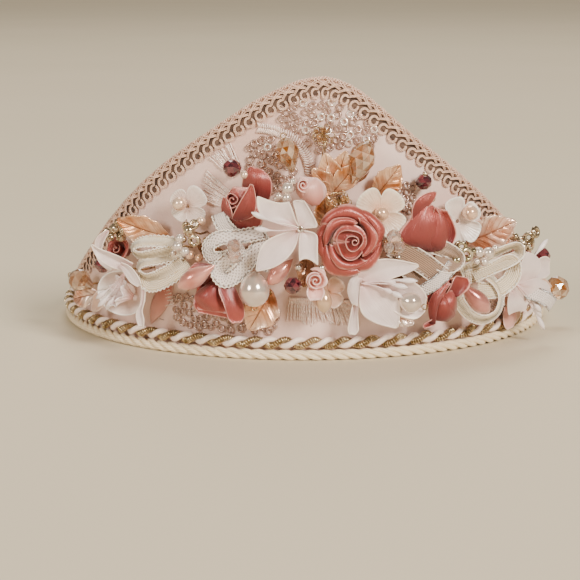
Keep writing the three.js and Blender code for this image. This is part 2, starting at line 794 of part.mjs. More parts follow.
const model = new THREE.Group();
const placed = []; // the room that later pieces leave each finished one, and its box

function boxOf(solid) {
  const { min, max } = solid.boundingBox();
  return new THREE.Box3(new THREE.Vector3(...min), new THREE.Vector3(...max));
}

function clearOfPlaced(solid) {
  const box = boxOf(solid);
  const near = placed.filter((piece) => piece.box.intersectsBox(box));
  return largest(near.reduce((rest, piece) => rest.subtract(piece.room), solid));
}

function meshOf(name, look, solid) {
  const material = new THREE.MeshStandardMaterial({ ...looks[look], flatShading: true });
  const mesh = new THREE.Mesh(geometryOf(solid), material);
  mesh.name = name;
  return mesh;
}

const trims = [
  { name: 'band', look: 'satin', make: band },
  { name: 'cream_cord', look: 'creamCord', make: (grow) => cord(creamRadius, creamHeight, grow) },
  { name: 'gold_cord', look: 'goldCord', make: (grow) => cord(goldRadius, goldHeight, grow) },
  { name: 'gimp_braid', look: 'gimp', make: gimp },
];
for (const { name, look, make } of trims) {
  const room = make(gap);
  placed.push({ room, box: boxOf(room) });
  model.add(meshOf(name, look, make(0)));
}

for (const row of spray) {
  const { name, make, look, angle, height, standOff, heading, nod = 0, turn = 0, beads } = row;
  const holder = new THREE.Group();
  holder.position.copy(wallPoint(angle, height, standOff));
  holder.rotation.z = heading * degree;
  const face = new THREE.Object3D();
  face.rotation.set((90 - nod) * degree, 0, turn * degree);
  holder.add(face);
  holder.updateMatrixWorld(true);
  const first = beads ? new THREE.Vector3(beads[0].right, beads[0].up, beads[0].out) : new THREE.Vector3();
  const held = first.applyMatrix4(face.matrixWorld);
  const root = wallPoint(angle, held.z, -1);
  const build = (grow) => {
    const piece = moved(make(row, grow), face.matrixWorld);
    return make === leaf ? piece : piece.add(rod(root, held, stalkRadius + grow, stalkRadius + grow));
  };
  const solid = clearOfPlaced(build(0));
  const room = build(gap);
  placed.push({ room, box: boxOf(room) });
  const mesh = meshOf(name, look, solid);
  mesh.geometry.applyMatrix4(face.matrixWorld.clone().invert());
  mesh.rotation.copy(face.rotation);
  holder.remove(face);
  holder.add(mesh);
  model.add(holder);
}

export default model;
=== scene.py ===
import bpy
import json
import random
import numpy as np
from math import cos, degrees, exp, hypot, pi, radians, sin, sqrt
from mathutils import Matrix, Vector


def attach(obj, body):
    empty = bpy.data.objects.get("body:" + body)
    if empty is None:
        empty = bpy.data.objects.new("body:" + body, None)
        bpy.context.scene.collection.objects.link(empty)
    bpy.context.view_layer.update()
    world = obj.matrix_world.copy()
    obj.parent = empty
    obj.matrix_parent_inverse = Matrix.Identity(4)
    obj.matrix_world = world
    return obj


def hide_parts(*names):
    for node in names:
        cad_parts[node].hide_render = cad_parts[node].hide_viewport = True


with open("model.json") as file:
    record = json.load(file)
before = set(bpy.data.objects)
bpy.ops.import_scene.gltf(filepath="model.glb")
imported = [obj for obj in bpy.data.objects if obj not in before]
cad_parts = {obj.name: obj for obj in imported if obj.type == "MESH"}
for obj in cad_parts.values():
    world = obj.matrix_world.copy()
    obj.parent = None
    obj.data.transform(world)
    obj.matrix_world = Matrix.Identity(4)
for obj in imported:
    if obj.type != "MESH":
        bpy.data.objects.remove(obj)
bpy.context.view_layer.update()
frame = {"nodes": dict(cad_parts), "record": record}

random.seed(23)
mm = 0.001
slotOf = {row["node"]: row["material_slot"] for row in frame["record"]["subparts"]}
print("frame loaded:", len(frame["nodes"]), "nodes")

# the band, and where things sit on it
# end and cordEnd are angles from the front; crestGap is how far the board stops below the gimp's edge
bandShape = {
    "halfWidth": 75.6, "halfDepth": 78.6, "wall": 2.6, "end": 100, "cordEnd": 98, "crestGap": 1.9,
    "pucker": 0.12, "rimBevel": 0.5,
}
crestRows = [  # angle round from the front in degrees, height of the gimp's top edge
    (-100, 9.0), (-90, 9.6), (-81, 11.6), (-70, 18.6), (-60, 27.4), (-50, 38.0), (-40, 48.6), (-30, 58.2),
    (-20, 66.8), (-11, 74.4), (-4, 79.0), (0, 80.8), (4, 81.4), (7.5, 80.4), (11, 78.2), (16, 73.4),
    (24, 64.6), (33, 56.0), (42, 47.4), (51, 38.8), (60, 29.4), (70, 19.4), (81, 11.8), (90, 9.6),
    (100, 9.0),
]


def wallPoint(angle, height, out=0.0):
    turn = radians(angle)
    return Vector((
        (bandShape["halfWidth"] + out) * sin(turn),
        -(bandShape["halfDepth"] + out) * cos(turn),
        height,
    ))


def smoothRow(rows, steps):
    # a smooth run through the rows, as a Catmull-Rom curve
    run = []
    last = len(rows) - 1
    for k in range(last):
        a, b, c, d = (np.array(rows[min(max(k + j, 0), last)], float) for j in (-1, 0, 1, 2))
        for j in range(steps):
            t = j / steps
            run.append(b + 0.5 * t * (c - a + t * (2 * a - 5 * b + 4 * c - d + t * (3 * (b - c) + d - a))))
    run.append(np.array(rows[-1], float))
    return np.array(run)


crestRun = smoothRow(crestRows, 12)
perDegree = bandShape["halfWidth"] * pi / 180
stepsAlong = np.hypot(np.diff(crestRun[:, 0]) * perDegree, np.diff(crestRun[:, 1]))
crestLength = np.concatenate([[0], np.cumsum(stepsAlong)])


def crestHeight(angle):
    return float(np.interp(angle, crestRun[:, 0], crestRun[:, 1]))


def crestSpot(s, below, out):
    # s is the way along the top edge; below is square to it in the face of the wall
    angle = float(np.interp(s, crestLength, crestRun[:, 0]))
    height = float(np.interp(s, crestLength, crestRun[:, 1]))
    ahead = min(s + 1, crestLength[-1])
    back = max(s - 1, 0)
    run = Vector((
        float(np.interp(ahead, crestLength, crestRun[:, 0]) - np.interp(back, crestLength,
                crestRun[:, 0])) * perDegree,
        float(np.interp(ahead, crestLength, crestRun[:, 1]) - np.interp(back, crestLength, crestRun[:, 1])),
    )).normalized()
    return wallPoint(angle + below * run.y / perDegree, height - below * run.x, out)


def seat(angle, height, standOff, heading=0, nod=0, turn=0):
    # a piece's own frame: X right, Y up, Z away from the wall
    return (
        Matrix.Translation(wallPoint(angle, height, standOff))
        @ Matrix.Rotation(radians(heading), 4, "Z")
        @ Matrix.Rotation(radians(90 - nod), 4, "X")
        @ Matrix.Rotation(radians(turn), 4, "Z")
    )


# where each ornament sits: angle, height, standOff, heading, nod, turn
seats = {
    "pearls_top": (-3.1, 50.8, 13, 0), "pearls_left": (-23.3, 33.9, 13, -8),
    "pearls_right": (36.2, 29.6, 13, 15), "crystal_clear_left": (-12.7, 33.8, 15, -5),
    "crystal_clear_right": (15.6, 36.4, 17, 8), "garnet_3": (-2.2, 24, 13, 0),
    "beads_green_right": (31.8, 30.2, 12, 14), "beads_gold_mid": (-22, 37.6, 10, -8),
    "drop_coral_left": (-19.8, 26, 15, -8, 0, 122), "pearl_drop": (-9.4, 22.6, 12, -4),
    "pearl_low": (19, 18.9, 16, 8, 0, -110), "lily_center": (-0.8, 40.4, 15, -2, 2),
    "rose_main": (8.2, 36.6, 12.5, 2), "lily_low": (10.5, 24.2, 11.5, 6, -4),
    "rose_left_low": (-17.6, 20.6, 10, -14, 18), "rose_right_low": (27.6, 17.8, 10, 24),
    "rose_left_up": (-11.6, 44.6, 9, -16, 48), "rose_right_up": (24, 39.6, 9, 26, 48),
    "flower_right": (45.4, 19.6, 12, 34, -6), "lily_left": (-36.1, 25.6, 12, -24, -4),
    "bud_top": (1.6, 50.4, 10, 0, 14), "bud_low": (2, 25.4, 12, 0), "cream_right": (14.8, 43.7, 8.5, 10),
    "drop_copper_right": (35.5, 16.8, 10.5, 18, 0, -135), "drop_coral_mid": (-4.7, 27.4, 9.5, 0, 0, 135),
    "drop_ivory": (3.6, 19.4, 11, 2, 0, 180), "ribbon_cream_left": (-29.6, 28, 8.5, -14),
    "ribbon_silver_left": (-13, 33, 9, -4), "ribbon_taupe_right": (23.4, 28.8, 8.5, 14),
    "ribbon_cream_right": (39.4, 25, 8.5, 20), "ribbon_pearly_low": (36.6, 16, 8, 18),
    "garnet_1": (-14.5, 56.3, 7, -6, 40), "garnet_2": (25.4, 51.4, 4.2, 12),
    "garnet_4": (-46.2, 24.8, 8, -28), "garnet_5": (58.7, 25.2, 9.5, 36),
    "crystal_top_left": (-3.3, 60.1, 6.5, 0, 0, 14), "crystal_top_right": (10.9, 57.6, 6.5, 6, 0, -20),
    "crystal_far_left": (-56.4, 17.4, 6.5, -34, 0, 72),
    "crystal_far_right": (70.5, 11.6, 8.5, 44, 0, -70), "beads_gold_left": (-42.5, 35.6, 7.5, -24),
    "beads_gold_right": (51.9, 32.2, 9.5, 30), "bud_far_left": (-43, 29.4, 5.5, -36, 20),
    "bud_far_right": (53.8, 26, 5.5, 44, 20), "peach_low": (4.6, 20.8, 7, 2),
    "cream_left": (-25.2, 44.2, 4.5, -14), "white_right": (34, 39.0, 4.5, 22),
    "leaf_left": (-30.6, 34.6, 5, -18, 0, 72), "leaf_right": (37.5, 32.4, 5.5, 24, 0, -66),
    "leaf_low": (-7.0, 20.6, 6, -3, 0, 151), "leaf_top_left": (5.8, 49.2, 4, 2, 0, 16),
    "leaf_top_right": (15, 47.6, 4, 10, 0, -34), "leaf_mid": (4.4, 38.6, 4.6, 2, 0, 4),
    "leaf_far_left": (-54.5, 13.6, 4.5, -40, 0, 106),
}


# finishes
def tone(code, rich=1.45):
    # a screen colour such as c6776a as the shader's own numbers, a little richer, as soft light pales it
    part = [int(code[k:k + 2], 16) / 255 for k in (0, 2, 4)]
    part = [c / 12.92 if c <= 0.04045 else ((c + 0.055) / 1.055) ** 2.4 for c in part]
    grey = 0.21 * part[0] + 0.72 * part[1] + 0.07 * part[2]
    return tuple(max(0.0, grey + (c - grey) * rich) for c in part) + (1,)


making = {}  # the finish that nodes are being added to


def newFinish(name, color, rough, metal=0.0, **shader):
    finish = bpy.data.materials.new(name)
    finish.use_nodes = True
    body = finish.node_tree.nodes["Principled BSDF"]
    body.inputs["Base Color"].default_value = tone(color)
    body.inputs["Roughness"].default_value = rough
    body.inputs["Metallic"].default_value = metal
    for key, value in shader.items():
        body.inputs[key.replace("_", " ")].default_value = value
    making["finish"] = finish
    return finish


def addNode(kind, values=None, **settings):
    node = making["finish"].node_tree.nodes.new(kind)
    for key, value in settings.items():
        setattr(node, key, value)
    for key, value in (values or {}).items():
        node.inputs[key].default_value = value
    return node


def wire(source, target):
    making["finish"].node_tree.links.new(source, target)


def shaderIn(name):
    return making["finish"].node_tree.nodes["Principled BSDF"].inputs[name]


def rampOf(source, stops):
    ramp = addNode("ShaderNodeValToRGB")
    while len(ramp.color_ramp.elements) < len(stops):
        ramp.color_ramp.elements.new(0.5)
    for element, (at, color) in zip(ramp.color_ramp.elements, stops):
        element.position = at
        element.color = tone(color) if isinstance(color, str) else (color, color, color, 1)
    wire(source, ramp.inputs["Fac"])
    return ramp.outputs["Color"]


def mixOf(factor, first, second, blend="MIX"):
    mix = addNode("ShaderNodeMix", data_type="RGBA", blend_type=blend)
    for socket, value in ((mix.inputs[0], factor), (mix.inputs[6], first), (mix.inputs[7], second)):
        if isinstance(value, str):
            socket.default_value = tone(value)
        elif isinstance(value, (int, float)):
            socket.default_value = value
        else:
            wire(value, socket)
    return mix.outputs[2]


def sumOf(kind, first, second):
    part = addNode("ShaderNodeMath", operation=kind)
    for socket, value in zip(part.inputs, (first, second)):
        if isinstance(value, (int, float)):
            socket.default_value = value
        else:
            wire(value, socket)
    return part.outputs[0]


def times(first, second):
    return sumOf("MULTIPLY", first, second)


def plus(first, second):
    return sumOf("ADD", first, second)


def minus(first, second):
    return sumOf("SUBTRACT", first, second)


def larger(first, second):
    return sumOf("MAXIMUM", first, second)


def waves(along, height=0.5):
    return sumOf("PINGPONG", along, height)


def offMiddle(across):
    # how far a point lies from the middle of its strip or petal, 0 to 0.5
    return sumOf("ABSOLUTE", minus(across, 0.5), 0)


def noiseOf(scale, detail=3.0, source=None, stretch=None):
    grain = addNode("ShaderNodeTexNoise", {"Scale": scale, "Detail": detail})
    if source is None:
        source = addNode("ShaderNodeTexCoord").outputs["Object"]
    if stretch:
        mapping = addNode("ShaderNodeMapping", {"Scale": stretch})
        wire(source, mapping.inputs["Vector"])
        source = mapping.outputs["Vector"]
    wire(source, grain.inputs["Vector"])
    return grain.outputs["Fac"]


def uvOf():
    split = addNode("ShaderNodeSeparateXYZ")
    place = addNode("ShaderNodeUVMap")
    wire(place.outputs["UV"], split.inputs["Vector"])
    return place.outputs["UV"], split.outputs["X"], split.outputs["Y"]


def bumpOn(height, distance):
    bump = addNode("ShaderNodeBump", {"Strength": 1.0, "Distance": distance * mm})
    wire(height, bump.inputs["Height"])
    wire(bump.outputs["Normal"], shaderIn("Normal"))


def colorOn(color):
    wire(color, shaderIn("Base Color"))


def petalFinish(name, body, rim, heart, rough=0.42, metal=0.0, rimAt=0.8, veins=0.12, coat=0.15, foot=0.62):
    # pressed clay: paler along its rim, partly the clay's own edge tint and partly a painted highlight;
    # deeper at its foot, partly the clay's own tint and partly painted shade in the hollows; fine veins
    # running to the tip
    finish = newFinish(name, body, rough, metal, Coat_Weight=coat, Coat_Roughness=0.3, Sheen_Weight=0.12)
    uv, across, along = uvOf()
    side = times(offMiddle(across), 2.0)
    edge = larger(side, along)
    cloud = noiseOf(260, 3)
    edge = plus(edge, times(minus(cloud, 0.5), 0.16))
    # the pale rim colour is partly a painted highlight
    rimAndHighlightShare = rampOf(edge, [(rimAt, 0.0), (0.985, 1.0)])
    # the heart colour towards the foot is partly painted shade deep inside the flower
    footTintAndShadeShare = rampOf(along, [(0.0, 1.0), (foot, 0.0)])
    color = mixOf(footTintAndShadeShare, body, heart)
    color = mixOf(rimAndHighlightShare, color, rim)
    shade = rampOf(cloud, [(0.3, 0.86), (0.72, 1.0)])
    colorOn(mixOf(1.0, color, shade, "MULTIPLY"))
    bumpOn(noiseOf(5, 4, uv, (9, 0.7, 1)), veins)
    return finish


def leafFinish(name, low, high, vein, metal=0.5, rough=0.26, veined=0.3, grain=300):
    # painted leaf: lustre rubbed over a darker ground, veins slanting off the midrib
    finish = newFinish(name, low, rough, metal, Coat_Weight=0.3, Coat_Roughness=0.2)
    across, along = uvOf()[1:]
    side = offMiddle(across)
    slant = minus(along, times(side, 0.55))
    ribs = waves(times(slant, 7.0))
    ribShare = rampOf(ribs, [(0.0, 1.0), (0.16, 0.0)])
    midShare = rampOf(side, [(0.0, 1.0), (0.035, 0.0)])
    veinShare = larger(times(ribShare, veined), times(midShare, 0.8))
    rub = noiseOf(grain, 4)
    ground = mixOf(rampOf(rub, [(0.36, 0.0), (0.66, 1.0)]), low, high)
    edge = rampOf(side, [(0.38, 0.0), (0.5, 1.0)])
    ground = mixOf(times(edge, 0.6), ground, high)
    colorOn(mixOf(veinShare, ground, vein))
    height = minus(times(rub, 0.35), veinShare)
    bumpOn(height, 0.22)
    return finish


def ribbonFinish(name, body, grooveShade, edge, ribs, edgeMetal, rough=0.38, slant=0.0):
    # ribbed ribbon with bright edges and painted shade in the grooves of its weave; slant turns the ribs
    # into a diamond mesh
    finish = newFinish(name, body, rough, 0.05 + 0.4 * (slant > 0), Sheen_Weight=0.3)
    across, along = uvOf()[1:]
    side = offMiddle(across)
    ahead = times(along, slant)
    weave = waves(plus(times(across, ribs), ahead))
    back = waves(minus(times(across, ribs), ahead))
    weave = larger(weave, back)
    picks = waves(times(along, 60.0), 0.5 * (slant == 0) + 0.05)
    edgeShare = rampOf(side, [(0.38, 0.0), (0.4, 1.0)])
    # painted shade: the groove colour darkens the troughs of the weave
    color = mixOf(rampOf(weave, [(0.05, 1.0), (0.3, 0.0)]), body, grooveShade)
    knots = rampOf(noiseOf(1500, 2), [(0.42, 0.0), (0.6, 1.0)])
    colorOn(mixOf(edgeShare, color, mixOf(knots, grooveShade, edge)))
    wire(times(edgeShare, edgeMetal), shaderIn("Metallic"))
    relief = plus(times(weave, 1.4), times(picks, 0.6))
    bumpOn(plus(relief, times(edgeShare, knots)), 0.3)
    return finish


def threadFinish(name, light, dark, rough, metal=0.0, twist=2.0, fibres=5.0, grain=0.0, **shader):
    # spun thread: fibres slant round each strand, with painted shade in the grooves between them; U runs
    # round it, V along it in centimetres
    finish = newFinish(name, light, rough, metal, Sheen_Weight=0.25, **shader)
    around, along = uvOf()[1:]
    slant = plus(times(along, twist), around)
    lines = waves(times(slant, fibres))
    fuzz = noiseOf(900, 3)
    share = rampOf(plus(lines, times(fuzz, 0.5)), [(0.2, 0.0), (0.6, 1.0)])
    # painted shade: the dark colour lies where the fibre relief is low
    colorOn(mixOf(share, dark, light))
    height = plus(lines, times(fuzz, 0.6 + grain))
    bumpOn(height, 0.09 + 0.1 * grain)
    return finish


def pearlFinish(name, body, tint, rough=0.16, metal=0.5):
    finish = newFinish(name, body, rough + 0.04, metal, Coat_Weight=0.8, Coat_Roughness=0.06,
                       Sheen_Weight=0.3)
    cloud = noiseOf(190, 2)
    colorOn(mixOf(rampOf(cloud, [(0.35, 0.0), (0.65, 1.0)]), body, tint))
    bumpOn(noiseOf(900, 2), 0.02)
    return finish


def glassFinish(name, pale, deep, through, rough=0.03, **shader):
    # cut glass: each facet is painted its own share of pale and deep, as painted reflections that differ
    # from facet to facet
    finish = newFinish(name, pale, rough, 0.0, Transmission_Weight=through, IOR=1.6, Coat_Weight=1.0,
                       Coat_Roughness=0.02, **shader)
    facet = addNode("ShaderNodeAttribute", attribute_name="facet")
    share = rampOf(facet.outputs["Fac"], [(0.0, 0.0), (1.0, 1.0)])
    cloud = noiseOf(500, 2)
    share = plus(share, times(minus(cloud, 0.5), 0.3))
    colorOn(mixOf(share, deep, pale))
    return finish


def goldFinish(name, light, dark, rough=0.22):
    finish = newFinish(name, light, rough, 0.9)
    wear = noiseOf(700, 3)
    colorOn(mixOf(rampOf(wear, [(0.35, 0.0), (0.6, 1.0)]), dark, light))
    bumpOn(wear, 0.04)
    return finish


def satinFinish():
    # pale pink satin: fine warp lines, soft blotches of beige and blush
    finish = newFinish("pinkSatin", "dcc0b6", 0.4, 0.0, Sheen_Weight=0.4, Sheen_Roughness=0.4,
                       Specular_IOR_Level=0.55)
    uv, across, along = uvOf()
    blotch = noiseOf(34, 3)
    color = mixOf(rampOf(blotch, [(0.3, 0.0), (0.7, 1.0)]), "dabcaf", "eddad3")
    silk = noiseOf(6, 3, uv, (220, 14, 1))
    color = mixOf(times(silk, 0.25), color, "f4e8e4")
    colorOn(color)
    warp = waves(times(across, 900.0))
    weft = waves(times(along, 260.0))
    creases = noiseOf(70, 2)
    height = plus(plus(warp, times(weft, 0.5)),
                   times(creases, 2.5))
    bumpOn(height, 0.06)
    return finish


finishes = {
    "satin": satinFinish(),
    "gimp": threadFinish("roseBeigeCord", "ead2c2", "9c7866", 0.3, twist=9, fibres=2),
    # painted shade: this dark tape lies behind the braid's front for the shade under and between its
    # strands and in its rings' holes; the lily's hole and the stitch marks use it too
    "tape": threadFinish("gimpTape", "66544a", "3c2e28", 0.8, twist=30, fibres=1),
    "backTape": threadFinish("gimpBackTape", "cdb09e", "a08474", 0.6, twist=30, fibres=1),
    "whitePly": threadFinish("whiteSatinPly", "fff4ec", "e3c8b8", 0.26, twist=1.2, fibres=9),
    "goldPly": threadFinish("goldThreadPly", "8a7050", "3c2a1a", 0.4, metal=0.5, twist=14, fibres=4,
                            grain=2),
    "glitter": goldFinish("glitterThread", "f2e4c8", "86704c", 0.24),
    "creamPly": threadFinish("creamCottonPly", "f8ecd6", "c9b394", 0.6, twist=1.6, fibres=7),
    # coral: the dark heart colour, carried up almost the whole petal, is partly painted shade in the folds;
    # the pale rim is partly a painted highlight
    "coral": petalFinish("coralClay", "a45f59", "e0b2aa", "5e2226", 0.3, 0.3, 0.9, 0.2, 0.4, 0.95),
    "blush": petalFinish("blushClay", "e2b9b0", "f6dcd5", "cb938a", 0.34, 0.1, veins=0.14),
    "white": petalFinish("whiteClay", "eadcd8", "fdf1e6", "dcbfba", 0.28, veins=0.12, rimAt=0.88,
                         coat=0.4, foot=0.42),
    "blushWhite": petalFinish("blushWhiteClay", "f1dedb", "fcf2f0", "dfb5b0", 0.24, veins=0.1, coat=0.6),
    "milk": petalFinish("milkClay", "f1e5dd", "fdf8f2", "e3cfc6", 0.28, veins=0.14, coat=0.5),
    "sheer": petalFinish("sheerClay", "e3d3ca", "f4eae2", "d2bcb2", 0.3, veins=0.2, coat=0.5),
    "cream": petalFinish("creamClay", "efdac8", "fdf3e2", "dbb59b", 0.32, veins=0.2, coat=0.3),
    "peach": petalFinish("peachClay", "dcbfae", "f3dfd2", "b98d78", 0.34, veins=0.14, coat=0.3),
    "orangeLeaf": leafFinish("orangeLeaf", "b07a5a", "efd2ba", "6e4632", veined=0.25, grain=170),
    "copperLeaf": leafFinish("copperLeaf", "c08c76", "fdeee2", "7c4c38", 0.6, 0.24, 0.35, 160),
    "peachLeaf": leafFinish("peachLeaf", "c8977a", "f4d8c4", "6c4028", 0.6, 0.24, 0.25, 150),
    # dark bronze, partly painted shade for the filler leaves in the gaps
    "shadeBronzeLeaf": leafFinish("shadeBronzeLeaf", "80604e", "bc9882", "54392c"),
    "silverRibbon": ribbonFinish("silverRibbon", "f6ece6", "8c7a70", "ffffff", 3.5, 0.5, 0.3, 20),
    "taupeRibbon": ribbonFinish("taupeRibbon", "b69d8c", "8a7262", "ecdfd6", 11, 0.2),
    "creamRibbon": ribbonFinish("creamRibbon", "fff4e2", "e4d0b2", "fffaf0", 8, 0.1),
    "picot": threadFinish("picotThread", "fffaf2", "e6d4c2", 0.3, twist=4, fibres=2),
    "pearl": pearlFinish("whitePearl", "f2eae2", "dccdc2", 0.12, 0.65),
    "warmPearl": pearlFinish("warmPearl", "f3e0ce", "e3c0a8"),
    "ivoryPearl": pearlFinish("ivoryPearl", "dcc4ac", "c8a58c"),
    "coralGloss": pearlFinish("coralPearl", "ba8076", "dcaaa0", 0.2),
    "roseGold": pearlFinish("roseGoldPearl", "a06c66", "c8968e", 0.2, 0.45),
    "champagne": glassFinish("champagneGlass", "fbe8d2", "925f3c", 0.62),
    "champagneBead": glassFinish("champagneBead", "f8e6d2", "c49c7c", 0.5, 0.08),
    "garnet": glassFinish("garnetGlass", "7a4448", "2a0e18", 0.25),
    "clear": glassFinish("clearGlass", "fffaf6", "d6b6a6", 0.75),
    "goldBead": goldFinish("paleGold", "e2d6c4", "807260", 0.16),
    "greenGold": goldFinish("greenGold", "d4cbb8", "6c6450", 0.16),
    "silverBead": goldFinish("silverBead", "efe6dd", "a3968a"),
    "goldWire": goldFinish("goldWire", "cab69c", "786450", 0.3),
    "thread": threadFinish("silkThread", "fdeee6", "e6cabc", 0.25, twist=4, fibres=2, Coat_Weight=0.8,
                           Coat_Roughness=0.12),
    "coralSilk": petalFinish("coralSilk", "d4a39a", "dcb4aa", "b87a72", 0.4, veins=0.05),
    "sequin": pearlFinish("sequin", "ccb4a8", "a58c80", 0.16),
    "whiteSequin": pearlFinish("whiteSequin", "fdf6f0", "f0e0d4", 0.1),
}
print("finishes ready:", len(finishes))


# making and joining
thick = {
    "flower": 0.4, "rose": 0.34, "blossom": 0.34, "leaf": 0.4, "smallLeaf": 0.34, "flameLeaf": 0.36,
    "bowl": 0.3, "trumpet": 0.26, "ribbon": 0.2, "tape": 0.4,
}


def startClean():
    bpy.ops.object.select_all(action="DESELECT")


def pick(piece):
    startClean()
    piece.select_set(True)
    bpy.context.view_layer.objects.active = piece
    return piece


def newPiece(name, corners, faces):
    mesh = bpy.data.meshes.new(name)
    mesh.from_pydata(corners, [], faces)
    piece = bpy.data.objects.new(name, mesh)
    bpy.context.scene.collection.objects.link(piece)
    return piece


def sheet(cols, rows, place):
    # a grid laid by place(u, v): u 0 to 1 up it, v -1 to 1 across it
    startClean()
    bpy.ops.mesh.primitive_grid_add(x_subdivisions=cols, y_subdivisions=rows, size=2)
    made = bpy.context.object
    for point in made.data.vertices:
        point.co = place((point.co.y + 1) / 2, point.co.x) * mm
    return made


def joined(parts):
    startClean()
    for part in parts:
        part.select_set(True)
    bpy.context.view_layer.objects.active = parts[0]
    if len(parts) > 1:
        bpy.ops.object.join()
    return bpy.context.view_layer.objects.active


def thicken(piece, across, rounds=1):
    pick(piece)
    wall = piece.modifiers.new("wall", "SOLIDIFY")
    wall.thickness = across * mm
    wall.offset = 0
    bpy.ops.object.modifier_apply(modifier=wall.name)
    if rounds:
        soft = piece.modifiers.new("soft", "SUBSURF")
        soft.levels = soft.render_levels = rounds
        bpy.ops.object.modifier_apply(modifier=soft.name)
    return piece


def finishPiece(piece, name, finish, node=None, smooth=True):
    pick(piece)
    bpy.ops.object.transform_apply(location=True, rotation=True, scale=True)
    if smooth:
        bpy.ops.object.shade_smooth()
    piece.name = piece.data.name = name
    piece.data.materials.clear()
    piece.data.materials.append(finishes[finish])
    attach(piece, "root")
    if node:
        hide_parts(node)
    return piece


def tubes(paths, sides=6):
    # closed tubes along (points, radius) paths; U runs round, V is the length in centimetres
    corners, faces, spots = [], [], []
    for points, radius in paths:
        run = np.array([tuple(p) for p in points], float)
        thick = np.broadcast_to(np.array(radius, float), len(run))
        ahead = np.gradient(run, axis=0)
        ahead /= np.linalg.norm(ahead, axis=1)[:, None] + 1e-9
        length = np.concatenate([[0], np.cumsum(np.linalg.norm(np.diff(run, axis=0), axis=1))]) / 10
        side = np.cross(ahead[0], (0.31, 0.52, 0.79))
        first = len(corners)
        for k in range(len(run)):
            side = side - ahead[k] * side.dot(ahead[k])
            side /= np.linalg.norm(side) + 1e-9
            up = np.cross(ahead[k], side)
            for j in range(sides):
                turn = 2 * pi * j / sides
                corners.append(tuple(run[k] + thick[k] * (cos(turn) * side + sin(turn) * up)))
        for k in range(len(run) - 1):
            for j in range(sides):
                a, b = first + k * sides, first + (k + 1) * sides
                n = (j + 1) % sides
                faces.append((a + j, a + n, b + n, b + j))
                spots += [(j / sides, length[k]), ((j + 1) / sides, length[k]),
                          ((j + 1) / sides, length[k + 1]), (j / sides, length[k + 1])]
        last = first + (len(run) - 1) * sides
        faces.append(tuple(first + j for j in reversed(range(sides))))
        faces.append(tuple(last + j for j in range(sides)))
        spots += [(0.5, length[0])] * sides + [(0.5, length[-1])] * sides
    piece = newPiece("tubes", [tuple(c * mm for c in corner) for corner in corners], faces)
    layer = piece.data.uv_layers.new(name="UVMap")
    layer.data.foreach_set("uv", np.array(spots, float).ravel())
    return piece


def ball(at, radius, fine=16):
    startClean()
    bpy.ops.mesh.primitive_uv_sphere_add(segments=fine, ring_count=fine * 3 // 4, radius=radius * mm,
                                         location=at * mm)
    return bpy.context.object


ringShape = {"hole": 0.42, "plump": 1.25}  # the hole's share of a bead's width, and the ring's swell


def ringBead(at, radius, facing):
    hole = ringShape["hole"]
    startClean()
    bpy.ops.mesh.primitive_torus_add(
        major_segments=18, minor_segments=10, major_radius=radius * (1 + hole) / 2 * mm,
        minor_radius=radius * (1 - hole) / 2 * ringShape["plump"] * mm, location=at * mm,
        rotation=facing.to_track_quat("Z", "Y").to_euler(),
    )
    return bpy.context.object


def latheDrop(rows, sides):
    # a turned form along local Y, rows of (radius, way along)
    corners = [(r * cos(a), y, r * sin(a)) for r, y in rows
               for a in (2 * pi * k / sides for k in range(sides))]
    faces = [(i * sides + (j + 1) % sides, i * sides + j, (i + 1) * sides + j,
              (i + 1) * sides + (j + 1) % sides)
             for i in range(len(rows) - 1) for j in range(sides)]
    faces.append(tuple(range(sides)))
    faces.append(tuple((len(rows) - 1) * sides + j for j in reversed(range(sides))))
    return newPiece("drop", corners, faces)


def cutGem(rows, sides):
    # a faceted form along local Y: each ring is turned half a facet from the last
    corners, rings = [], []
    for k, (r, y) in enumerate(rows):
        rings.append(len(corners))
        corners += [(r * cos(a), y, r * sin(a)) for a in
                    (2 * pi * (j + 0.5 * (k % 2)) / sides for j in range(sides))]
    faces = [tuple(range(sides)), tuple(rings[-1] + j for j in reversed(range(sides)))]
    for k in range(len(rows) - 1):
        for j in range(sides):
            a, b = rings[k] + j, rings[k] + (j + 1) % sides
            low, high = rings[k + 1] + j, rings[k + 1] + (j + 1) % sides
            if k % 2:
                faces += [(a, high, b), (a, low, high)]
            else:
                faces += [(b, a, low), (low, high, b)]
    return newPiece("gem", corners, faces)


def mendNormals(piece):
    pick(piece)
    bpy.ops.object.mode_set(mode="EDIT")
    bpy.ops.mesh.select_all(action="SELECT")
    bpy.ops.mesh.normals_make_consistent(inside=False)
    bpy.ops.object.mode_set(mode="OBJECT")
    return piece


def setDown(piece, matrix):
    # a piece modelled in millimetres in its own frame, put in its seat
    piece.data.transform(Matrix.Scale(mm, 4) @ matrix)
    return piece


# band
def makeBand():
    end, wall = bandShape["end"], bandShape["wall"]

    def place(u, v):
        angle = v * end
        height = u * (crestHeight(angle) - bandShape["crestGap"])
        pucker = bandShape["pucker"] * sin(angle * 0.9) * sin(pi * u)
        return wallPoint(angle, height, pucker - wall / 2)

    band = pick(sheet(220, 30, place))
    wallMod = band.modifiers.new("wall", "SOLIDIFY")
    wallMod.thickness = wall * mm
    wallMod.offset = 0
    wallMod.use_even_offset = True
    bpy.ops.object.modifier_apply(modifier=wallMod.name)
    rim = band.modifiers.new("rim", "BEVEL")
    rim.width = bandShape["rimBevel"] * mm
    rim.segments = 2
    rim.limit_method = "ANGLE"
    rim.angle_limit = radians(50)
    bpy.ops.object.modifier_apply(modifier=rim.name)
    finishPiece(band, "band_satin", "satin", node="band")


makeBand()
print("band made")

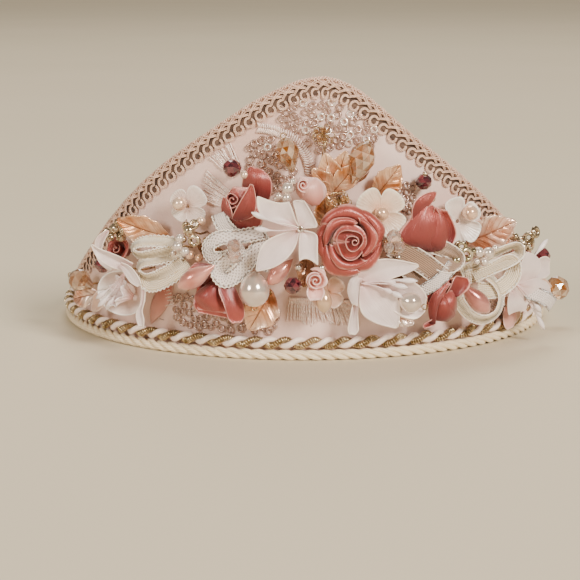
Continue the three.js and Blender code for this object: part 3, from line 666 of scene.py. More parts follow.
# gimp braid
gimpShape = {
    "pitch": 3.75, "ridge": 1.5, "strand": 0.19, "pair": 0.37, "ring": 1.34, "ringAt": 2.8,
    "headAt": (-3.9, -3.3), "head": (0.85, 1.05), "shadeTapeFront": 3.2, "tapeBack": 6.6,
    "ridgeAt": (-1.1, 0.5), "ridgeTurn": (0.34, 0.3), "ridgePly": 0.26,
}


def braidSpot(s, w, lift):
    # w crosses the braid: 0 on its ridge, above 0 down the front, below 0 over the top and down the back
    face, corner, top = 0.5, 0.7, bandShape["wall"] + 0.3
    ridge = gimpShape["ridge"]
    bendStart = -(ridge - 0.5 - corner)
    bend = corner * pi / 2
    if w >= bendStart:
        return crestSpot(s, ridge + w, face + lift)
    past = bendStart - w
    if past < bend:
        q = past / corner
        return crestSpot(s, 0.5 + corner - (corner + lift) * sin(q),
                         face - corner + (corner + lift) * cos(q))
    past -= bend
    flat = top + 2 * (face - corner)
    if past < flat:
        return crestSpot(s, 0.5 - lift, face - corner - past)
    past -= flat
    backFace = face - corner - flat
    if past < bend:
        q = past / corner
        return crestSpot(s, 0.5 + corner - (corner + lift) * cos(q), backFace - (corner + lift) * sin(q))
    return crestSpot(s, 0.5 + corner + past - bend, backFace - corner - lift)


def pairOf(route, spread):
    # two strands side by side along a flat route of (along, across, lift)
    run = np.array(route, float)
    ahead = np.gradient(run[:, :2], axis=0)
    ahead /= np.linalg.norm(ahead, axis=1)[:, None] + 1e-9
    side = np.stack([-ahead[:, 1], ahead[:, 0]], axis=1)
    return [np.column_stack([run[:, :2] + side * off, run[:, 2]]) for off in (-spread / 2, spread / 2)]


def makeGimp():
    g = gimpShape
    # the scroll below the ridge: in from the right, over its ring and round to a small hook inside
    inner = [(6.0, -0.75, 0.3), (4.6, -0.5, 0.75), (3.2, -0.1, 0.95), (2.1, 0.45, 0.9), (1.2, 1.1, 0.7)]
    for k in range(11):
        a = radians(62 + 33 * k)
        reach = g["ring"] * (1 - 0.22 * max(0.0, (k - 7) / 3) ** 1.5)
        inner.append((reach * cos(a), g["ringAt"] - reach * sin(a), 0.4 - 0.012 * k))
    # the strand above it runs the same way, over the edge, and ends in a small loop on the back
    outer = [(4.8, 0.75, 0.3), (3.4, 0.35, 0.8), (1.8, -0.2, 1.0), (0.2, -0.85, 0.85), (-1.4, -1.6, 0.6),
             (-3.0, -2.3, 0.4)]
    for k in range(10):
        a = radians(-80 - 34 * k)
        outer.append((g["headAt"][0] + g["head"][0] * cos(a) * (1 - 0.03 * k),
                      g["headAt"][1] - g["head"][1] * sin(a), 0.36))
    length = crestLength[-1]
    count = int(length / g["pitch"])
    paths = []
    for k in range(count):
        s = (k + 0.5) * length / count
        height = float(np.interp(s, crestLength, crestRun[:, 1]))
        for route, least in ((inner, 14.2), (outer, 0)):
            if height < least or s + route[0][0] > length or s - 5 < 0:
                continue
            for strand in pairOf(smoothRow(route, 2), g["pair"]):
                points = [braidSpot(s + along, across, lift) for along, across, lift in strand]
                paths.append((points, g["strand"]))
    finishPiece(tubes(paths, 6), "gimp_braid_strands", "gimp", node="gimp_braid")

    # the dark front tape is painted shade behind the strands
    def front(u, v):
        s = length * u
        low = min(g["shadeTapeFront"], float(np.interp(s, crestLength, crestRun[:, 1])) - 7.6 - g["ridge"])
        return braidSpot(s, low * (1 + v) / 2, -0.1)

    def back(u, v):
        return braidSpot(length * u, -g["tapeBack"] * (1 - v) / 2, -0.1)

    finishPiece(thicken(sheet(8, 240, front), thick["tape"], 0), "gimp_shade_tape_front", "tape")
    finishPiece(thicken(sheet(16, 160, back), thick["tape"], 0), "gimp_tape_back", "backTape")
    ridge = []
    for side in (0, 1):
        points = []
        steps = int(length / 0.45)
        for k in range(steps + 1):
            s = length * k / steps
            turn = 4 * pi * s / g["pitch"] + pi * side
            across = g["ridgeAt"][0] + g["ridgeTurn"][0] * cos(turn)
            points.append(braidSpot(s, across, g["ridgeAt"][1] + g["ridgeTurn"][1] * sin(turn)))
        ridge.append((points, g["ridgePly"]))
    finishPiece(tubes(ridge, 6), "gimp_ridge", "gimp")


makeGimp()
print("gimp made")

# the two twisted cords
cordShape = {  # each ply is its finish and its radius
    "gold": {"height": 5.2, "radius": 1.75, "plies": (("whitePly", 0.84), ("goldPly", 0.86)),
             "pitch": 8.6, "hand": 1},
    "cream": {"height": 1.6, "radius": 1.55, "plies": (("creamPly", 0.76),) * 3, "pitch": 11.8, "hand": -1},
}
glitterWrap = {"pitch": 0.62, "radius": 0.17, "steps": 9}  # fine metal thread wound round the gold ply


def plyRun(c, ply, radius):
    # the middle line of one ply, every half millimetre
    end = radians(bandShape["cordEnd"])
    length = 2 * end * (bandShape["halfWidth"] + c["radius"] + 0.3)
    steps = int(length / 0.5)
    spread = c["radius"] - radius
    points = []
    for k in range(steps + 1):
        turn = c["hand"] * 2 * pi * length * k / steps / c["pitch"]
        turn += 2 * pi * ply / len(c["plies"])
        angle = degrees(-end + 2 * end * k / steps)
        points.append(wallPoint(angle, c["height"] + spread * sin(turn),
                                c["radius"] + 0.3 + spread * cos(turn)))
    return points


def makeCord(name, node):
    c = cordShape[name]
    for ply, (finish, radius) in enumerate(c["plies"]):
        points = plyRun(c, ply, radius)
        last = len(points) - 1
        taper = [radius * min(1, 0.35 + 0.5 * min(k, last - k)) for k in range(last + 1)]
        finishPiece(tubes([(points, taper)], 12), f"{node}_ply_{ply + 1}", finish,
                    node if ply == 0 else None)
        if finish == "goldPly":
            finishPiece(glitter(points, radius), node + "_glitter", "glitter")


def glitter(points, radius):
    run = np.array([tuple(p) for p in points])
    along = np.concatenate([[0], np.cumsum(np.linalg.norm(np.diff(run, axis=0), axis=1))])
    ahead = np.gradient(run, axis=0)
    ahead /= np.linalg.norm(ahead, axis=1)[:, None]
    g = glitterWrap
    count = int(along[-1] / g["pitch"] * g["steps"])
    wound = []
    for k in range(count + 1):
        s = along[-1] * k / count
        at = np.array([np.interp(s, along, run[:, axis]) for axis in range(3)])
        go = np.array([np.interp(s, along, ahead[:, axis]) for axis in range(3)])
        side = np.cross(go, (0, 0, 1))
        side /= np.linalg.norm(side)
        turn = 2 * pi * k / g["steps"]
        reach = radius + 0.04 + random.uniform(-0.08, 0.12)
        wound.append(at + reach * (cos(turn) * side + sin(turn) * np.cross(go, side)))
    return tubes([(wound, g["radius"])], 4)


makeCord("gold", "gold_cord")
makeCord("cream", "cream_cord")
print("cords made")


# clay petals
def edgePetal(seatOf, edges, lift=1.2, cup=0.9, fold=0.35, notch=0.0, lip=0.3, wave=0.0, base=0.0,
              dome=0.0, tilt=0.0):
    # edges: rows of left x, left y, right x, right y in the flower's face, from the root to the tip
    run = smoothRow(edges, 4)
    far = max(hypot(row[0] + row[2], row[1] + row[3]) / 2 for row in run)
    phase = random.uniform(0, 6)

    def place(u, v):
        k = u * (len(run) - 1)
        low = int(k)
        row = run[low] + (run[min(low + 1, len(run) - 1)] - run[low]) * (k - low)
        pull = 1 - notch * (1 - v * v) * u ** 4
        x = (row[0] * (1 + v) + row[2] * (1 - v)) / 2 * pull
        y = (row[1] * (1 + v) + row[3] * (1 - v)) / 2 * pull
        out = base + lift * (hypot(x, y) / far) ** 2 + tilt * v * sin(pi * (0.15 + 0.7 * u))
        out += cup * v * v * sin(pi * (0.1 + 0.85 * u))
        out += lip * (abs(v) ** 8 + u ** 12) * min(1, 3 * u)
        out += dome * (1 - v * v) * sin(pi * u) - fold * exp(-(v / 0.2) ** 2) * (1 - u)
        out += wave * sin(3.4 * v + 6 * u + phase) * u
        return seatOf @ Vector((x, y, out))

    return sheet(11, 13, place)


discShape = {"start": 0.5, "lap": 0.5, "ridges": 48, "wave": 0.3}


def discPetal(seatOf, radius, lobes, depth, bowl, turn, sizes):
    # a flat blossom of broad petals, each lapping over the next, with fine ridges out from the middle
    start, ridges = discShape["start"], discShape["ridges"]

    def place(u, v):
        around = pi * v + radians(turn)
        step = (lobes * around / (2 * pi)) % lobes
        share = step % 1
        size = sizes[int(step) % len(sizes)]
        edge = radius * size * (1 - depth * (1 - sin(pi * share)) ** 3)
        reach = start + (edge - start) * u
        out = bowl * u ** 2.2 + 0.07 * cos(ridges * around) * u
        out += discShape["wave"] * sin(2 * pi * share) * u * u + discShape["lap"] * share * u
        return seatOf @ Vector((reach * cos(around), reach * sin(around), out))

    return sheet(ridges * 3, 9, place)


def stamenPath(seatOf, tipX, tipY, rise, bow=0.5, tipSize=0.85):
    # a thin stem from the middle with a long swollen end
    reach = hypot(tipX, tipY)
    points, sizes = [], []
    for k in range(15):
        u = k / 14
        aside = bow * sin(pi * u)
        right, up = tipX * u - aside * tipY / reach, tipY * u + aside * tipX / reach
        points.append(seatOf @ Vector((right, up, 0.6 + rise * u)))
        swell = max(0.0, (u - 0.66) / 0.34)
        sizes.append(0.2 + 0.04 * u + (tipSize - 0.24) * sin(pi * min(1.0, swell) ** 1.2) * (swell > 0))
    sizes[-1] = 0.16
    return points, sizes


flowers = {
    "lily_center": {
        "petals": [
            {"edges": [(-0.7, 0.5, -0.3, 0.7), (-4.6, 1.5, -1.2, 2.4), (-8.8, 2.4, -1.7, 4.4),
                (-11.6, 5.4, -2.3, 6.2), (-12.0, 9.8, -3.0, 7.9)], "lift": 2.0, "cup": 1.3,
                "notch": 0.15},
            {"edges": [(-0.2, 0.8, 0.8, 0.2), (-0.9, 3.2, 3.1, 0.4), (-1.5, 5.8, 4.9, 0.9),
                (-2.0, 8.0, 3.7, 3.9), (-0.4, 8.1, 1.1, 8.2)], "lift": 1.4, "cup": 0.8, "base": 0.3},
            {"edges": [(0.7, -0.4, -0.1, -0.8), (4.6, -1.3, -0.3, -3.2), (4.9, -5.4, -0.4, -6.0),
                (5.1, -10.2, -0.3, -9.0)], "lift": 1.2, "cup": 1.0, "notch": 0.13},
            {"edges": [(-0.4, -0.8, -0.9, -0.1), (-1.2, -4.8, -5.8, -1.4), (-3.8, -8.4, -9.9, -3.4),
                (-7.6, -10.8, -11.7, -7.0), (-12.1, -11.7, -12.3, -11.5)], "lift": 1.6, "cup": 1.0},
        ],
        "stamens": [(-13.4, 5.0, 3.8), (-12.6, 0.4, 3.0)],
    },
    "lily_low": {
        "petals": [
            {"edges": [(-1.3, 1.6, 0.9, 0.3), (0.2, 5.6, 6.0, 0.6), (5.2, 7.4, 9.6, 1.9),
                (10.4, 7.0, 13.4, 3.3), (16.0, 5.6, 16.2, 5.1)], "lift": 1.6, "cup": 1.2, "dome": 0.6},
            {"edges": [(1.2, 0.2, -0.3, -0.9), (6.8, -1.6, -0.6, -6.4), (10.6, -4.4, 1.0, -9.6),
                (11.2, -8.6, 5.2, -11.9), (10.5, -12.8, 10.1, -13.0)], "lift": 1.4, "cup": 0.9,
                "dome": 0.9},
            {"edges": [(0.6, 0.2, 1.2, 4.6), (-0.2, 0.0, -1.8, 2.8), (-0.4, -1.6, -3.6, 0.0),
                (-0.1, -5.0, -3.8, -3.0), (0.4, -7.4, -2.6, -6.0)], "lift": 0.2, "cup": -0.4, "dome": 1.1,
                "base": -0.2},
            {"edges": [(0.2, -5.2, -1.8, -5.0), (-0.6, -8.6, -2.6, -8.2), (-0.6, -11.6, -3.2, -11.4),
                (-0.4, -14.0, -3.6, -13.6), (-1.6, -15.4, -3.0, -15.2)], "lift": 0.6, "cup": 0.9,
                "base": -1.5},
            {"edges": [(5.2, -4.4, 4.6, 0.4), (10.4, -9.0, 11.6, 1.6), (15.4, -10.4, 16.4, -0.4),
                (18.4, -8.2, 18.9, -4.4)], "lift": 1.2, "cup": 1.8, "base": -0.4},
        ],
        "stamens": [(9.6, 0.6, 2.2), (15.6, 1.2, 3.0), (11.4, -3.4, 3.4), (8.6, -2.2, 3.2),
            (12.8, -0.6, 3.2)],
    },
    "lily_left": {
        "petals": [
            {"edges": [(0.4, -0.6, 3.0, 2.3), (-3.8, 0.6, -0.6, 4.1), (-6.9, 2.4, -3.6, 5.2),
                (-8.8, 4.4, -7.0, 6.2), (-9.8, 7.4, -9.6, 7.6)], "lift": 1.8, "cup": 0.9, "base": 1.2},
            {"edges": [(-1.2, 1.5, -0.7, 2.7), (0.4, -0.4, 3.0, 1.6), (2.4, -3.1, 5.4, -1.2),
                (4.9, -4.2, 6.1, -3.3)], "lift": 0.4, "cup": 0.5, "base": 2.4, "dome": 0.5},
            {"edges": [(5.6, -3.6, 7.0, -4.2), (5.2, -9.2, 6.4, -9.0), (3.9, -11.4, 5.7, -11.4),
                (3.5, -13.8, 6.3, -14.0), (4.4, -16.2, 5.9, -16.3)], "lift": 0.6, "cup": 0.4,
                "base": 2.0},
            {"edges": [(-7.0, 10.2, -7.6, 10.8), (-8.6, 7.2, -11.4, 8.4), (-9.4, 4.6, -12.0, 4.6),
                (-8.2, 1.8, -10.6, 0.8), (-5.6, -0.2, -6.6, -1.6)], "lift": -1.0, "cup": 0.4,
                "base": -1.6},
        ],
        "stamens": [(-7.4, -12.6, 0.6), (-10.6, -9.4, 0.6), (-9.6, -11.6, 1.4)],
    },
    "flower_right": {
        "petals": [
            {"edges": [(1.1, -1.2, -2.0, 0.2), (7.0, 1.0, -1.0, 2.6), (9.6, 4.6, 0.6, 6.0),
                (7.6, 7.8, 2.4, 8.8), (4.2, 9.2, 3.6, 9.5)], "lift": -0.6, "cup": 0.8, "dome": 1.0},
            {"edges": [(-1.6, -1.4, -0.4, -1.8), (-2.8, -4.4, 2.8, -4.6), (-2.4, -7.6, 5.4, -7.4),
                (-1.3, -9.6, 5.0, -9.0)], "lift": -0.4, "cup": 0.6, "dome": 0.8, "notch": 0.05},
            {"edges": [(6.0, 0.8, 6.0, 3.0), (9.0, 0.6, 8.6, 6.6), (12.2, 0.3, 12.0, 7.3),
                (14.8, 1.4, 14.6, 5.6)], "lift": -0.8, "cup": 1.0, "base": -1.0},
            {"edges": [(1.0, -1.8, 1.6, 0.0), (5.4, -5.2, 7.0, 1.4), (9.4, -7.8, 12.2, -0.6),
                (12.0, -8.0, 14.2, -4.2)], "lift": 0.2, "cup": 0.2, "dome": 1.5, "base": 0.4,
                "wave": 0.2},
            {"edges": [(-1.2, -1.0, -1.6, 0.0), (-2.8, -2.4, -3.0, 1.6), (-3.4, -4.8, -3.6, 0.4),
                (-3.0, -6.6, -3.9, -2.6)], "lift": 0.0, "cup": 0.4, "base": -0.8},
        ],
        "stamens": [(13.4, -8.8, 0.8), (12.4, -15.4, 0.8), (10.4, -11.2, 1.0), (11.8, 12.6, -1.0),
            (9.4, -9.2, 1.8)],
    },
}


def makeFlower(name):
    here = seat(*seats[name])
    piece = joined([edgePetal(here, **row) for row in flowers[name]["petals"]])
    finishPiece(thicken(piece, thick["flower"]), name + "_petals", "white", node=name)
    stems = [stamenPath(here, *row) for row in flowers[name]["stamens"]]
    finishPiece(tubes(stems, 8), name + "_stamens", "blushWhite")


for flowerName in flowers:
    makeFlower(flowerName)


def makeBell():
    # the bell below the left lily: a thin milky bowl round a ribbed pink trumpet with a toothed mouth
    here = seat(*seats["lily_left"]) @ Matrix.Translation((-3.0, -7.6, -1.0))
    tipped = here @ Matrix.Rotation(radians(-34), 4, "X") @ Matrix.Rotation(radians(-38), 4, "Y")

    def bowl(u, v):
        turn = pi * v
        reach = 2.4 + 5.0 * sin(u * pi / 2)
        rise = -3.6 + 4.4 * u ** 1.6 - 0.5 * max(0.0, u - 0.85) / 0.15
        return here @ Vector((reach * cos(turn) * 1.08, reach * sin(turn) * 0.9, rise))

    def trumpet(u, v):
        turn = pi * v
        ribs = 0.3 * cos(14 * turn) * u
        reach = 0.9 + 3.9 * u ** 1.3 + ribs
        rise = -3.4 + 5.4 * u + 0.8 * cos(7 * turn) * u ** 5
        return tipped @ Vector((reach * cos(turn), reach * sin(turn), rise))

    finishPiece(thicken(sheet(44, 10, bowl), thick["bowl"], 0), "lily_left_bowl", "milk")
    finishPiece(thicken(sheet(112, 14, trumpet), thick["trumpet"], 0), "lily_left_trumpet", "blushWhite")


makeBell()
eyeSeat = seat(*seats["lily_center"])
eye = ringBead(eyeSeat @ Vector((0, 0, 0.7)), 0.95, eyeSeat.to_3x3() @ Vector((0, 0, 1)))
finishPiece(eye, "lily_center_eye", "silverBead")
# a dark ball in the eye's hole, painted shade
finishPiece(ball(eyeSeat @ Vector((0, 0, 0.5)), 0.5, 12), "lily_center_hole_shade", "tape")
print("open flowers made")

# roses: petals stand round the middle in rows, each lapping over the next, and roll over at the rim
def rosePetal(seatOf, facing, span, foot, mouth, deep, tall, drop=0.0, peak=0.0, lap=0.5, ruffle=0.3):
    phase = random.uniform(0, 6)
    wide = mouth - foot

    def place(u, v):
        turn = radians(facing + v * span / 2 * (0.66 + 0.34 * u))
        edge = 1 - 0.14 * abs(v) ** 3 * u
        a, b, c, d = (1 - u) ** 3, 3 * u * (1 - u) ** 2, 3 * u * u * (1 - u), u ** 3
        reach = a * foot + b * (foot + 0.12 * wide) + c * (foot + 0.62 * wide) + d * mouth * edge
        crest = tall + 0.75 * drop
        rise = a * deep + b * (0.45 * deep + 0.55 * crest) + c * crest + d * (tall - drop)
        rise -= 0.9 * abs(v) ** 3 * u
        reach += lap * v + peak * exp(-(v / 0.28) ** 2) * u ** 5
        rise += ruffle * sin(5 * v + phase) * u * u
        return seatOf @ Vector((reach * cos(turn), reach * sin(turn), rise))

    return sheet(15, 13, place)


def roseHeart(seatOf, turns, inner, outer, deep, tall, shift=(0, 0), corner=0.0, cornerAt=0.0, sink=0.6,
              grow=1.0):
    # one long petal wound to the middle; corner draws its turns to three corners
    def place(u, v):
        t = (v + 1) / 2
        turn = 2 * pi * turns * t
        reach = inner + (outer - inner) * t ** grow + 0.3 * u * t
        reach *= 1 + corner * t * cos(3 * (turn - radians(cornerAt)))
        rise = deep + (tall + sink * (1 - t) - deep) * u ** 0.8
        right, up = (way * (1 - t) for way in shift)
        return seatOf @ Vector((right + reach * cos(turn), up + reach * sin(turn), rise))

    wound = sheet(int(30 * turns), 6, place)
    for loop in wound.data.uv_layers.active.data:
        loop.uv.x = 0.5  # keeps the pale rim off the two ends
    return wound


def roseFloor(seatOf, reach, rise):
    # the closed bottom of the bud, seen between the turns
    def place(u, v):
        turn = pi * v
        return seatOf @ Vector((reach * u * cos(turn), reach * u * sin(turn), rise + 0.9 * (1 - u)))

    return sheet(24, 5, place)


freePetal = {"fold": 0, "lift": 0}  # the clay petals laid on a rose lie flat unless their row says more
floorShape = {"reach": 1.06, "below": 2.3}  # against the heart's radius and its rim
# rows of standing petals: facing, span, foot, mouth, deep, tall, drop, peak, lap
roses = {
    "rose_main": {
        "heart": {"turns": 2.9, "inner": 0.3, "outer": 4.7, "deep": -3, "tall": 3.6, "shift": (1.5, 0.2),
            "corner": 0.13, "cornerAt": 25, "sink": 0.2, "grow": 1.5},
        "rows": [(95, 116, 4.6, 9.9, -5, 2.5, 2.4, 0.7, 0.9),
            (165, 112, 4.6, 9.3, -5, 2.0, 2.0, 0.4, 0.9), (238, 108, 4.6, 10.0, -5, 2.3, 2.4, 1.1, 0.9),
            (308, 112, 4.6, 9.4, -5, 2.1, 2.0, 0.6, 0.9), (20, 104, 4.6, 9.6, -5, 2.2, 2.2, 1.1, 0.9),
            (130, 128, 3.9, 7.4, -4.6, 3.7, 1.5, 0.8, 0.8),
            (250, 132, 3.9, 7.5, -4.6, 3.4, 1.5, 0.7, 0.8),
            (10, 128, 3.9, 7.2, -4.6, 3.6, 1.3, 0.8, 0.8)],
    },
    "rose_left_low": {
        "heart": {"turns": 1.6, "inner": 0.4, "outer": 2.4, "deep": -2, "tall": 1.6, "shift": (0.6, 0.4)},
        "rows": [(215, 150, 2.6, 6.0, -5, 0.2, 1.2, 0.4, 0.4),
            (110, 150, 2.4, 5.8, -5, 0.8, 1.0, 0.5, 0.4), (300, 150, 2.4, 5.4, -5, 0.4, 0.9, 0.5, 0.4)],
        "petals": [
            {"edges": [(-1.0, 2.0, 3.0, 5.6), (-5.0, 2.8, 0.6, 7.4), (-7.4, 4.4, -2.6, 8.6),
                (-7.8, 6.6, -6.0, 8.4)], "dome": 1.0, "base": -0.8, "cup": 0.2},
            {"edges": [(-5.8, -1.4, 4.0, -3.0), (-5.8, -3.8, 5.2, -5.4), (-4.4, -5.6, 6.0, -7.2)],
                "dome": 1.0, "base": 0.8, "cup": 0.2, "lip": 0.6},
            {"edges": [(0.4, 4.2, 2.6, 4.2), (-3.0, 1.8, 2.6, 1.2), (-5.6, -0.6, 3.0, -1.6),
                (-5.2, -3.0, 3.8, -3.8), (-4.4, -4.8, 4.2, -5.6)], "dome": 3.0, "base": 1.0, "cup": -0.5,
                "lip": 0.6},
            {"edges": [(2.8, 4.4, 4.8, 4.2), (2.2, 1.6, 6.8, 1.8), (3.5, -1.2, 8.2, -1.0),
                (4.6, -4.2, 9.3, -3.6), (5.2, -6.6, 9.3, -6.4), (6.6, -7.9, 8.4, -7.9)], "cup": 0.2,
                "base": 1.8, "lip": 0.8, "dome": 1.2, "tilt": 1.5},
        ],
    },
    "rose_right_low": {
        "heart": {"turns": 1.9, "inner": 0.3, "outer": 2.0, "deep": -2, "tall": 1.0, "sink": 0.3},
        "heartAt": (1.1, -0.4, 0.2),
        "rows": [(300, 150, 2.4, 4.2, -4.6, 0.2, 0.8, 0.2, 0.4),
            (60, 130, 2.6, 5.0, -4.6, 1.2, 0.8, 1.0, 0.4),
            (180, 120, 2.6, 4.8, -4.6, 0.8, 1.0, 0.6, 0.4)],
        "petals": [
            {"edges": [(-4.6, -1.0, 0.0, -2.0), (-6.0, 1.8, 2.0, 1.0), (-4.2, 4.6, 3.0, 4.0),
                (-1.3, 6.6, 2.6, 5.8)], "cup": 0.6, "base": 0.2, "dome": 1.0},
            {"edges": [(0.0, 1.0, 4.2, 0.4), (0.8, 3.8, 6.2, 2.6), (1.6, 5.9, 7.0, 4.6),
                (2.8, 7.1, 6.4, 6.3)], "cup": 1.8, "base": 0.8, "lip": 0.6, "lift": 1.2},
            {"edges": [(-1.2, -6.2, 2.2, -6.4), (-3.2, -4.2, 4.5, -4.2), (-3.0, -1.6, 4.9, -1.4),
                (-1.8, 0.8, 4.2, 1.0), (0.4, 2.5, 2.4, 2.6)], "base": 0.9, "dome": 2.6, "cup": -1.2,
                "lip": 0.5},
            {"edges": [(-2.6, -6.0, 1.2, -6.7), (-4.0, -4.2, 4.0, -4.8), (-3.8, -2.2, 2.6, -1.2),
                (-3.0, -0.4, 0.4, 0.8), (-1.8, 1.0, -0.8, 1.4)], "base": 1.5, "dome": 2.5, "cup": -0.8,
                "lip": 0.5},
            {"edges": [(-4.6, -6.6, -3.4, -6.8), (-5.7, -3.2, -3.4, -3.4), (-5.2, 0.6, -2.6, -0.2),
                (-2.8, 3.8, -0.6, 2.8), (0.0, 5.6, 1.2, 4.9)], "cup": 0.1, "base": 2.4, "dome": 1.2,
                "tilt": -0.6},
            {"edges": [(-3.2, -5.2, -3.0, -6.8), (-5.0, -5.4, -4.8, -7.2), (-7.2, -6.6, -6.8, -7.8)],
                "cup": 1.0, "base": 1.4, "lip": 0.5},
        ],
    },
    "rose_left_up": {
        "heart": {"turns": 2.0, "inner": 0.3, "outer": 2.3, "deep": -3, "tall": 2.6, "corner": 0.12,
            "sink": 0.2},
        "heartAt": (-2.6, 3.2, 0.6),
        "rows": [(200, 150, 2.2, 3.8, -5.0, 0.8, 0.4, 0.3, 0.4),
            (-40, 150, 2.2, 3.8, -5.0, 0.8, 0.4, 0.3, 0.4)],
        "petals": [
            {"edges": [(-1.6, 3.4, 6.4, 2.8), (-1.8, 7.4, 7.4, 6.2), (-0.8, 10.6, 6.8, 9.2),
                (1.2, 12.5, 4.6, 11.6)], "base": -2.2, "dome": 1.9, "cup": -0.6, "lift": 0.4},
            {"edges": [(-2.4, -5.8, 1.8, -5.6), (-6.2, -2.8, 4.8, -4.0), (-7.2, 0.6, 4.8, -0.6),
                (-6.0, 3.4, 3.4, 2.4), (-3.4, 6.8, 2.6, 6.6)], "base": 0.2, "dome": 1.9, "cup": -1.0},
            {"edges": [(-3.0, -2.2, -2.0, -2.8), (-1.8, 0.4, 2.8, -1.8), (0.0, 3.4, 4.2, 1.0),
                (1.6, 6.0, 4.2, 4.2), (2.9, 8.1, 3.5, 7.8)], "base": 3.0, "dome": 1.0, "cup": 0.1,
                "lip": 0.7, "tilt": 0.6},
            {"edges": [(-6.4, -0.8, -2.6, -2.4), (-6.6, 1.6, -2.8, 0.2), (-5.8, 4.0, -4.2, 3.4)],
                "base": 2.2, "dome": 0.8, "cup": 0.2, "lip": 0.5, "tilt": -0.8},
        ],
        "aside": (0.2, 0),
    },
    "rose_right_up": {
        "heart": {"turns": 1.6, "inner": 0.4, "outer": 2.2, "deep": -3, "tall": -0.4, "corner": 0.08},
        "rows": [(90, 150, 2.4, 4.0, -5.4, -0.4, 0.6, 0.4, 0.4),
            (-30, 150, 2.4, 3.8, -5.4, -0.6, 0.4, 0.2, 0.4),
            (210, 150, 2.4, 3.8, -5.4, -0.6, 0.4, 0.2, 0.4)],
        "petals": [
            {"edges": [(-5.2, 0.8, -3.0, 2.0), (-6.0, 4.4, -1.2, 4.6), (-5.3, 7.6, 0.6, 6.6),
                (-2.4, 9.4, 1.8, 8.7), (0.8, 10.0, 1.6, 9.8)], "base": 1.2, "dome": 1.2, "cup": 0.5,
                "lip": 0.6, "lift": 1.2},
            {"edges": [(4.8, -6.4, 6.8, -6.0), (5.0, -2.2, 7.8, -2.6), (3.4, 2.0, 6.9, 1.0),
                (1.0, 5.4, 4.6, 4.4)], "base": 1.8, "cup": 1.1, "wave": 0.5, "lip": 0.9, "lift": 1.2},
            {"edges": [(1.6, -8.0, 4.6, -7.6), (-9.0, -4.1, 6.8, -5.6), (-8.8, -1.0, 7.2, -2.2),
                (-6.4, 1.8, 5.2, 1.8), (-3.6, 4.4, 3.2, 4.2), (-1.4, 6.0, 1.2, 6.0)], "base": 1.6,
                "dome": 2.4, "cup": -0.9, "wave": 0.5},
            {"edges": [(3.2, -7.6, 4.8, -7.0), (-1.4, -4.8, 7.0, -5.2), (-0.4, -1.2, 7.2, -1.8),
                (0.8, 2.6, 5.4, 2.0), (1.4, 5.6, 2.6, 5.2)], "base": 2.4, "dome": 2.1, "cup": -0.6,
                "lip": 0.5},
        ],
    },
    "bud_top": {
        "heart": {"turns": 2.0, "inner": 0.25, "outer": 1.9, "deep": -1.4, "tall": 1.9,
            "shift": (-0.3, 0.2)},
        "heartAt": (-2.6, 1.8, 0.2), "rows": [],
        "petals": [
            {"edges": [(-0.4, -4.1, 1.5, -3.9), (-2.8, -2.8, 3.2, -1.2), (-3.8, -0.8, 2.8, 1.6),
                (-3.4, 1.0, 1.4, 3.2), (-2.6, 2.2, -0.4, 3.8)], "base": 0.6, "dome": 2.2, "cup": -0.9},
            {"edges": [(-1.2, -3.6, 1.0, -4.2), (-4.2, -1.6, 1.6, -2.2), (-5.0, 1.0, -2.2, 0.2),
                (-4.8, 2.8, -3.4, 2.6)], "base": -0.2, "dome": 1.6, "cup": -0.4},
            {"edges": [(0.4, -3.8, 1.6, -3.8), (-1.4, -0.6, 3.6, -1.6), (-3.4, 2.0, 3.4, 1.4),
                (-4.0, 4.0, 1.0, 3.6)], "base": -1.6, "dome": 0.8, "cup": 0.0},
        ],
    },
    "bud_low": {
        "heart": {"turns": 1.8, "inner": 0.2, "outer": 2.0, "deep": -1, "tall": 1.5, "sink": 0.5},
        "rows": [(150, 190, 1.5, 2.6, -3.2, 1.0, 0.3, 0.2, 0.3),
            (-10, 190, 1.5, 2.9, -3.2, 0.9, 0.4, 0.6, 0.3),
            (60, 120, 1.8, 3.4, -3.2, 0.4, 0.8, 0.6, 0.3)],
        "petals": [
            {"edges": [(-2.2, -1.6, 2.0, -1.8), (-2.6, -3.8, 2.6, -3.6), (-1.6, -5.8, 1.6, -5.6)],
                "base": -0.8, "lift": 1.2},
        ],
    },
    "bud_far_left": {
        "heart": {"turns": 1.2, "inner": 0.3, "outer": 1.2, "deep": -2, "tall": 1.4},
        "rows": [(100, 190, 1.4, 4.2, -3.6, 1.4, 0.6, 0.3, 0.3),
            (-20, 190, 1.4, 4.0, -3.6, 1.2, 0.6, 0.3, 0.3),
            (-130, 190, 1.4, 4.0, -3.6, 1.2, 0.6, 0.3, 0.3)],
    },
    "bud_far_right": {
        "heart": {"turns": 1.6, "inner": 0.3, "outer": 1.8, "deep": -2, "tall": 2.4},
        "rows": [(100, 190, 1.4, 4.2, -3.6, 1.4, 0.6, 0.3, 0.3),
            (-20, 190, 1.4, 4.2, -3.6, 1.2, 0.6, 0.3, 0.3),
            (-130, 190, 1.4, 4.2, -3.6, 1.2, 0.6, 0.3, 0.3)],
    },
}


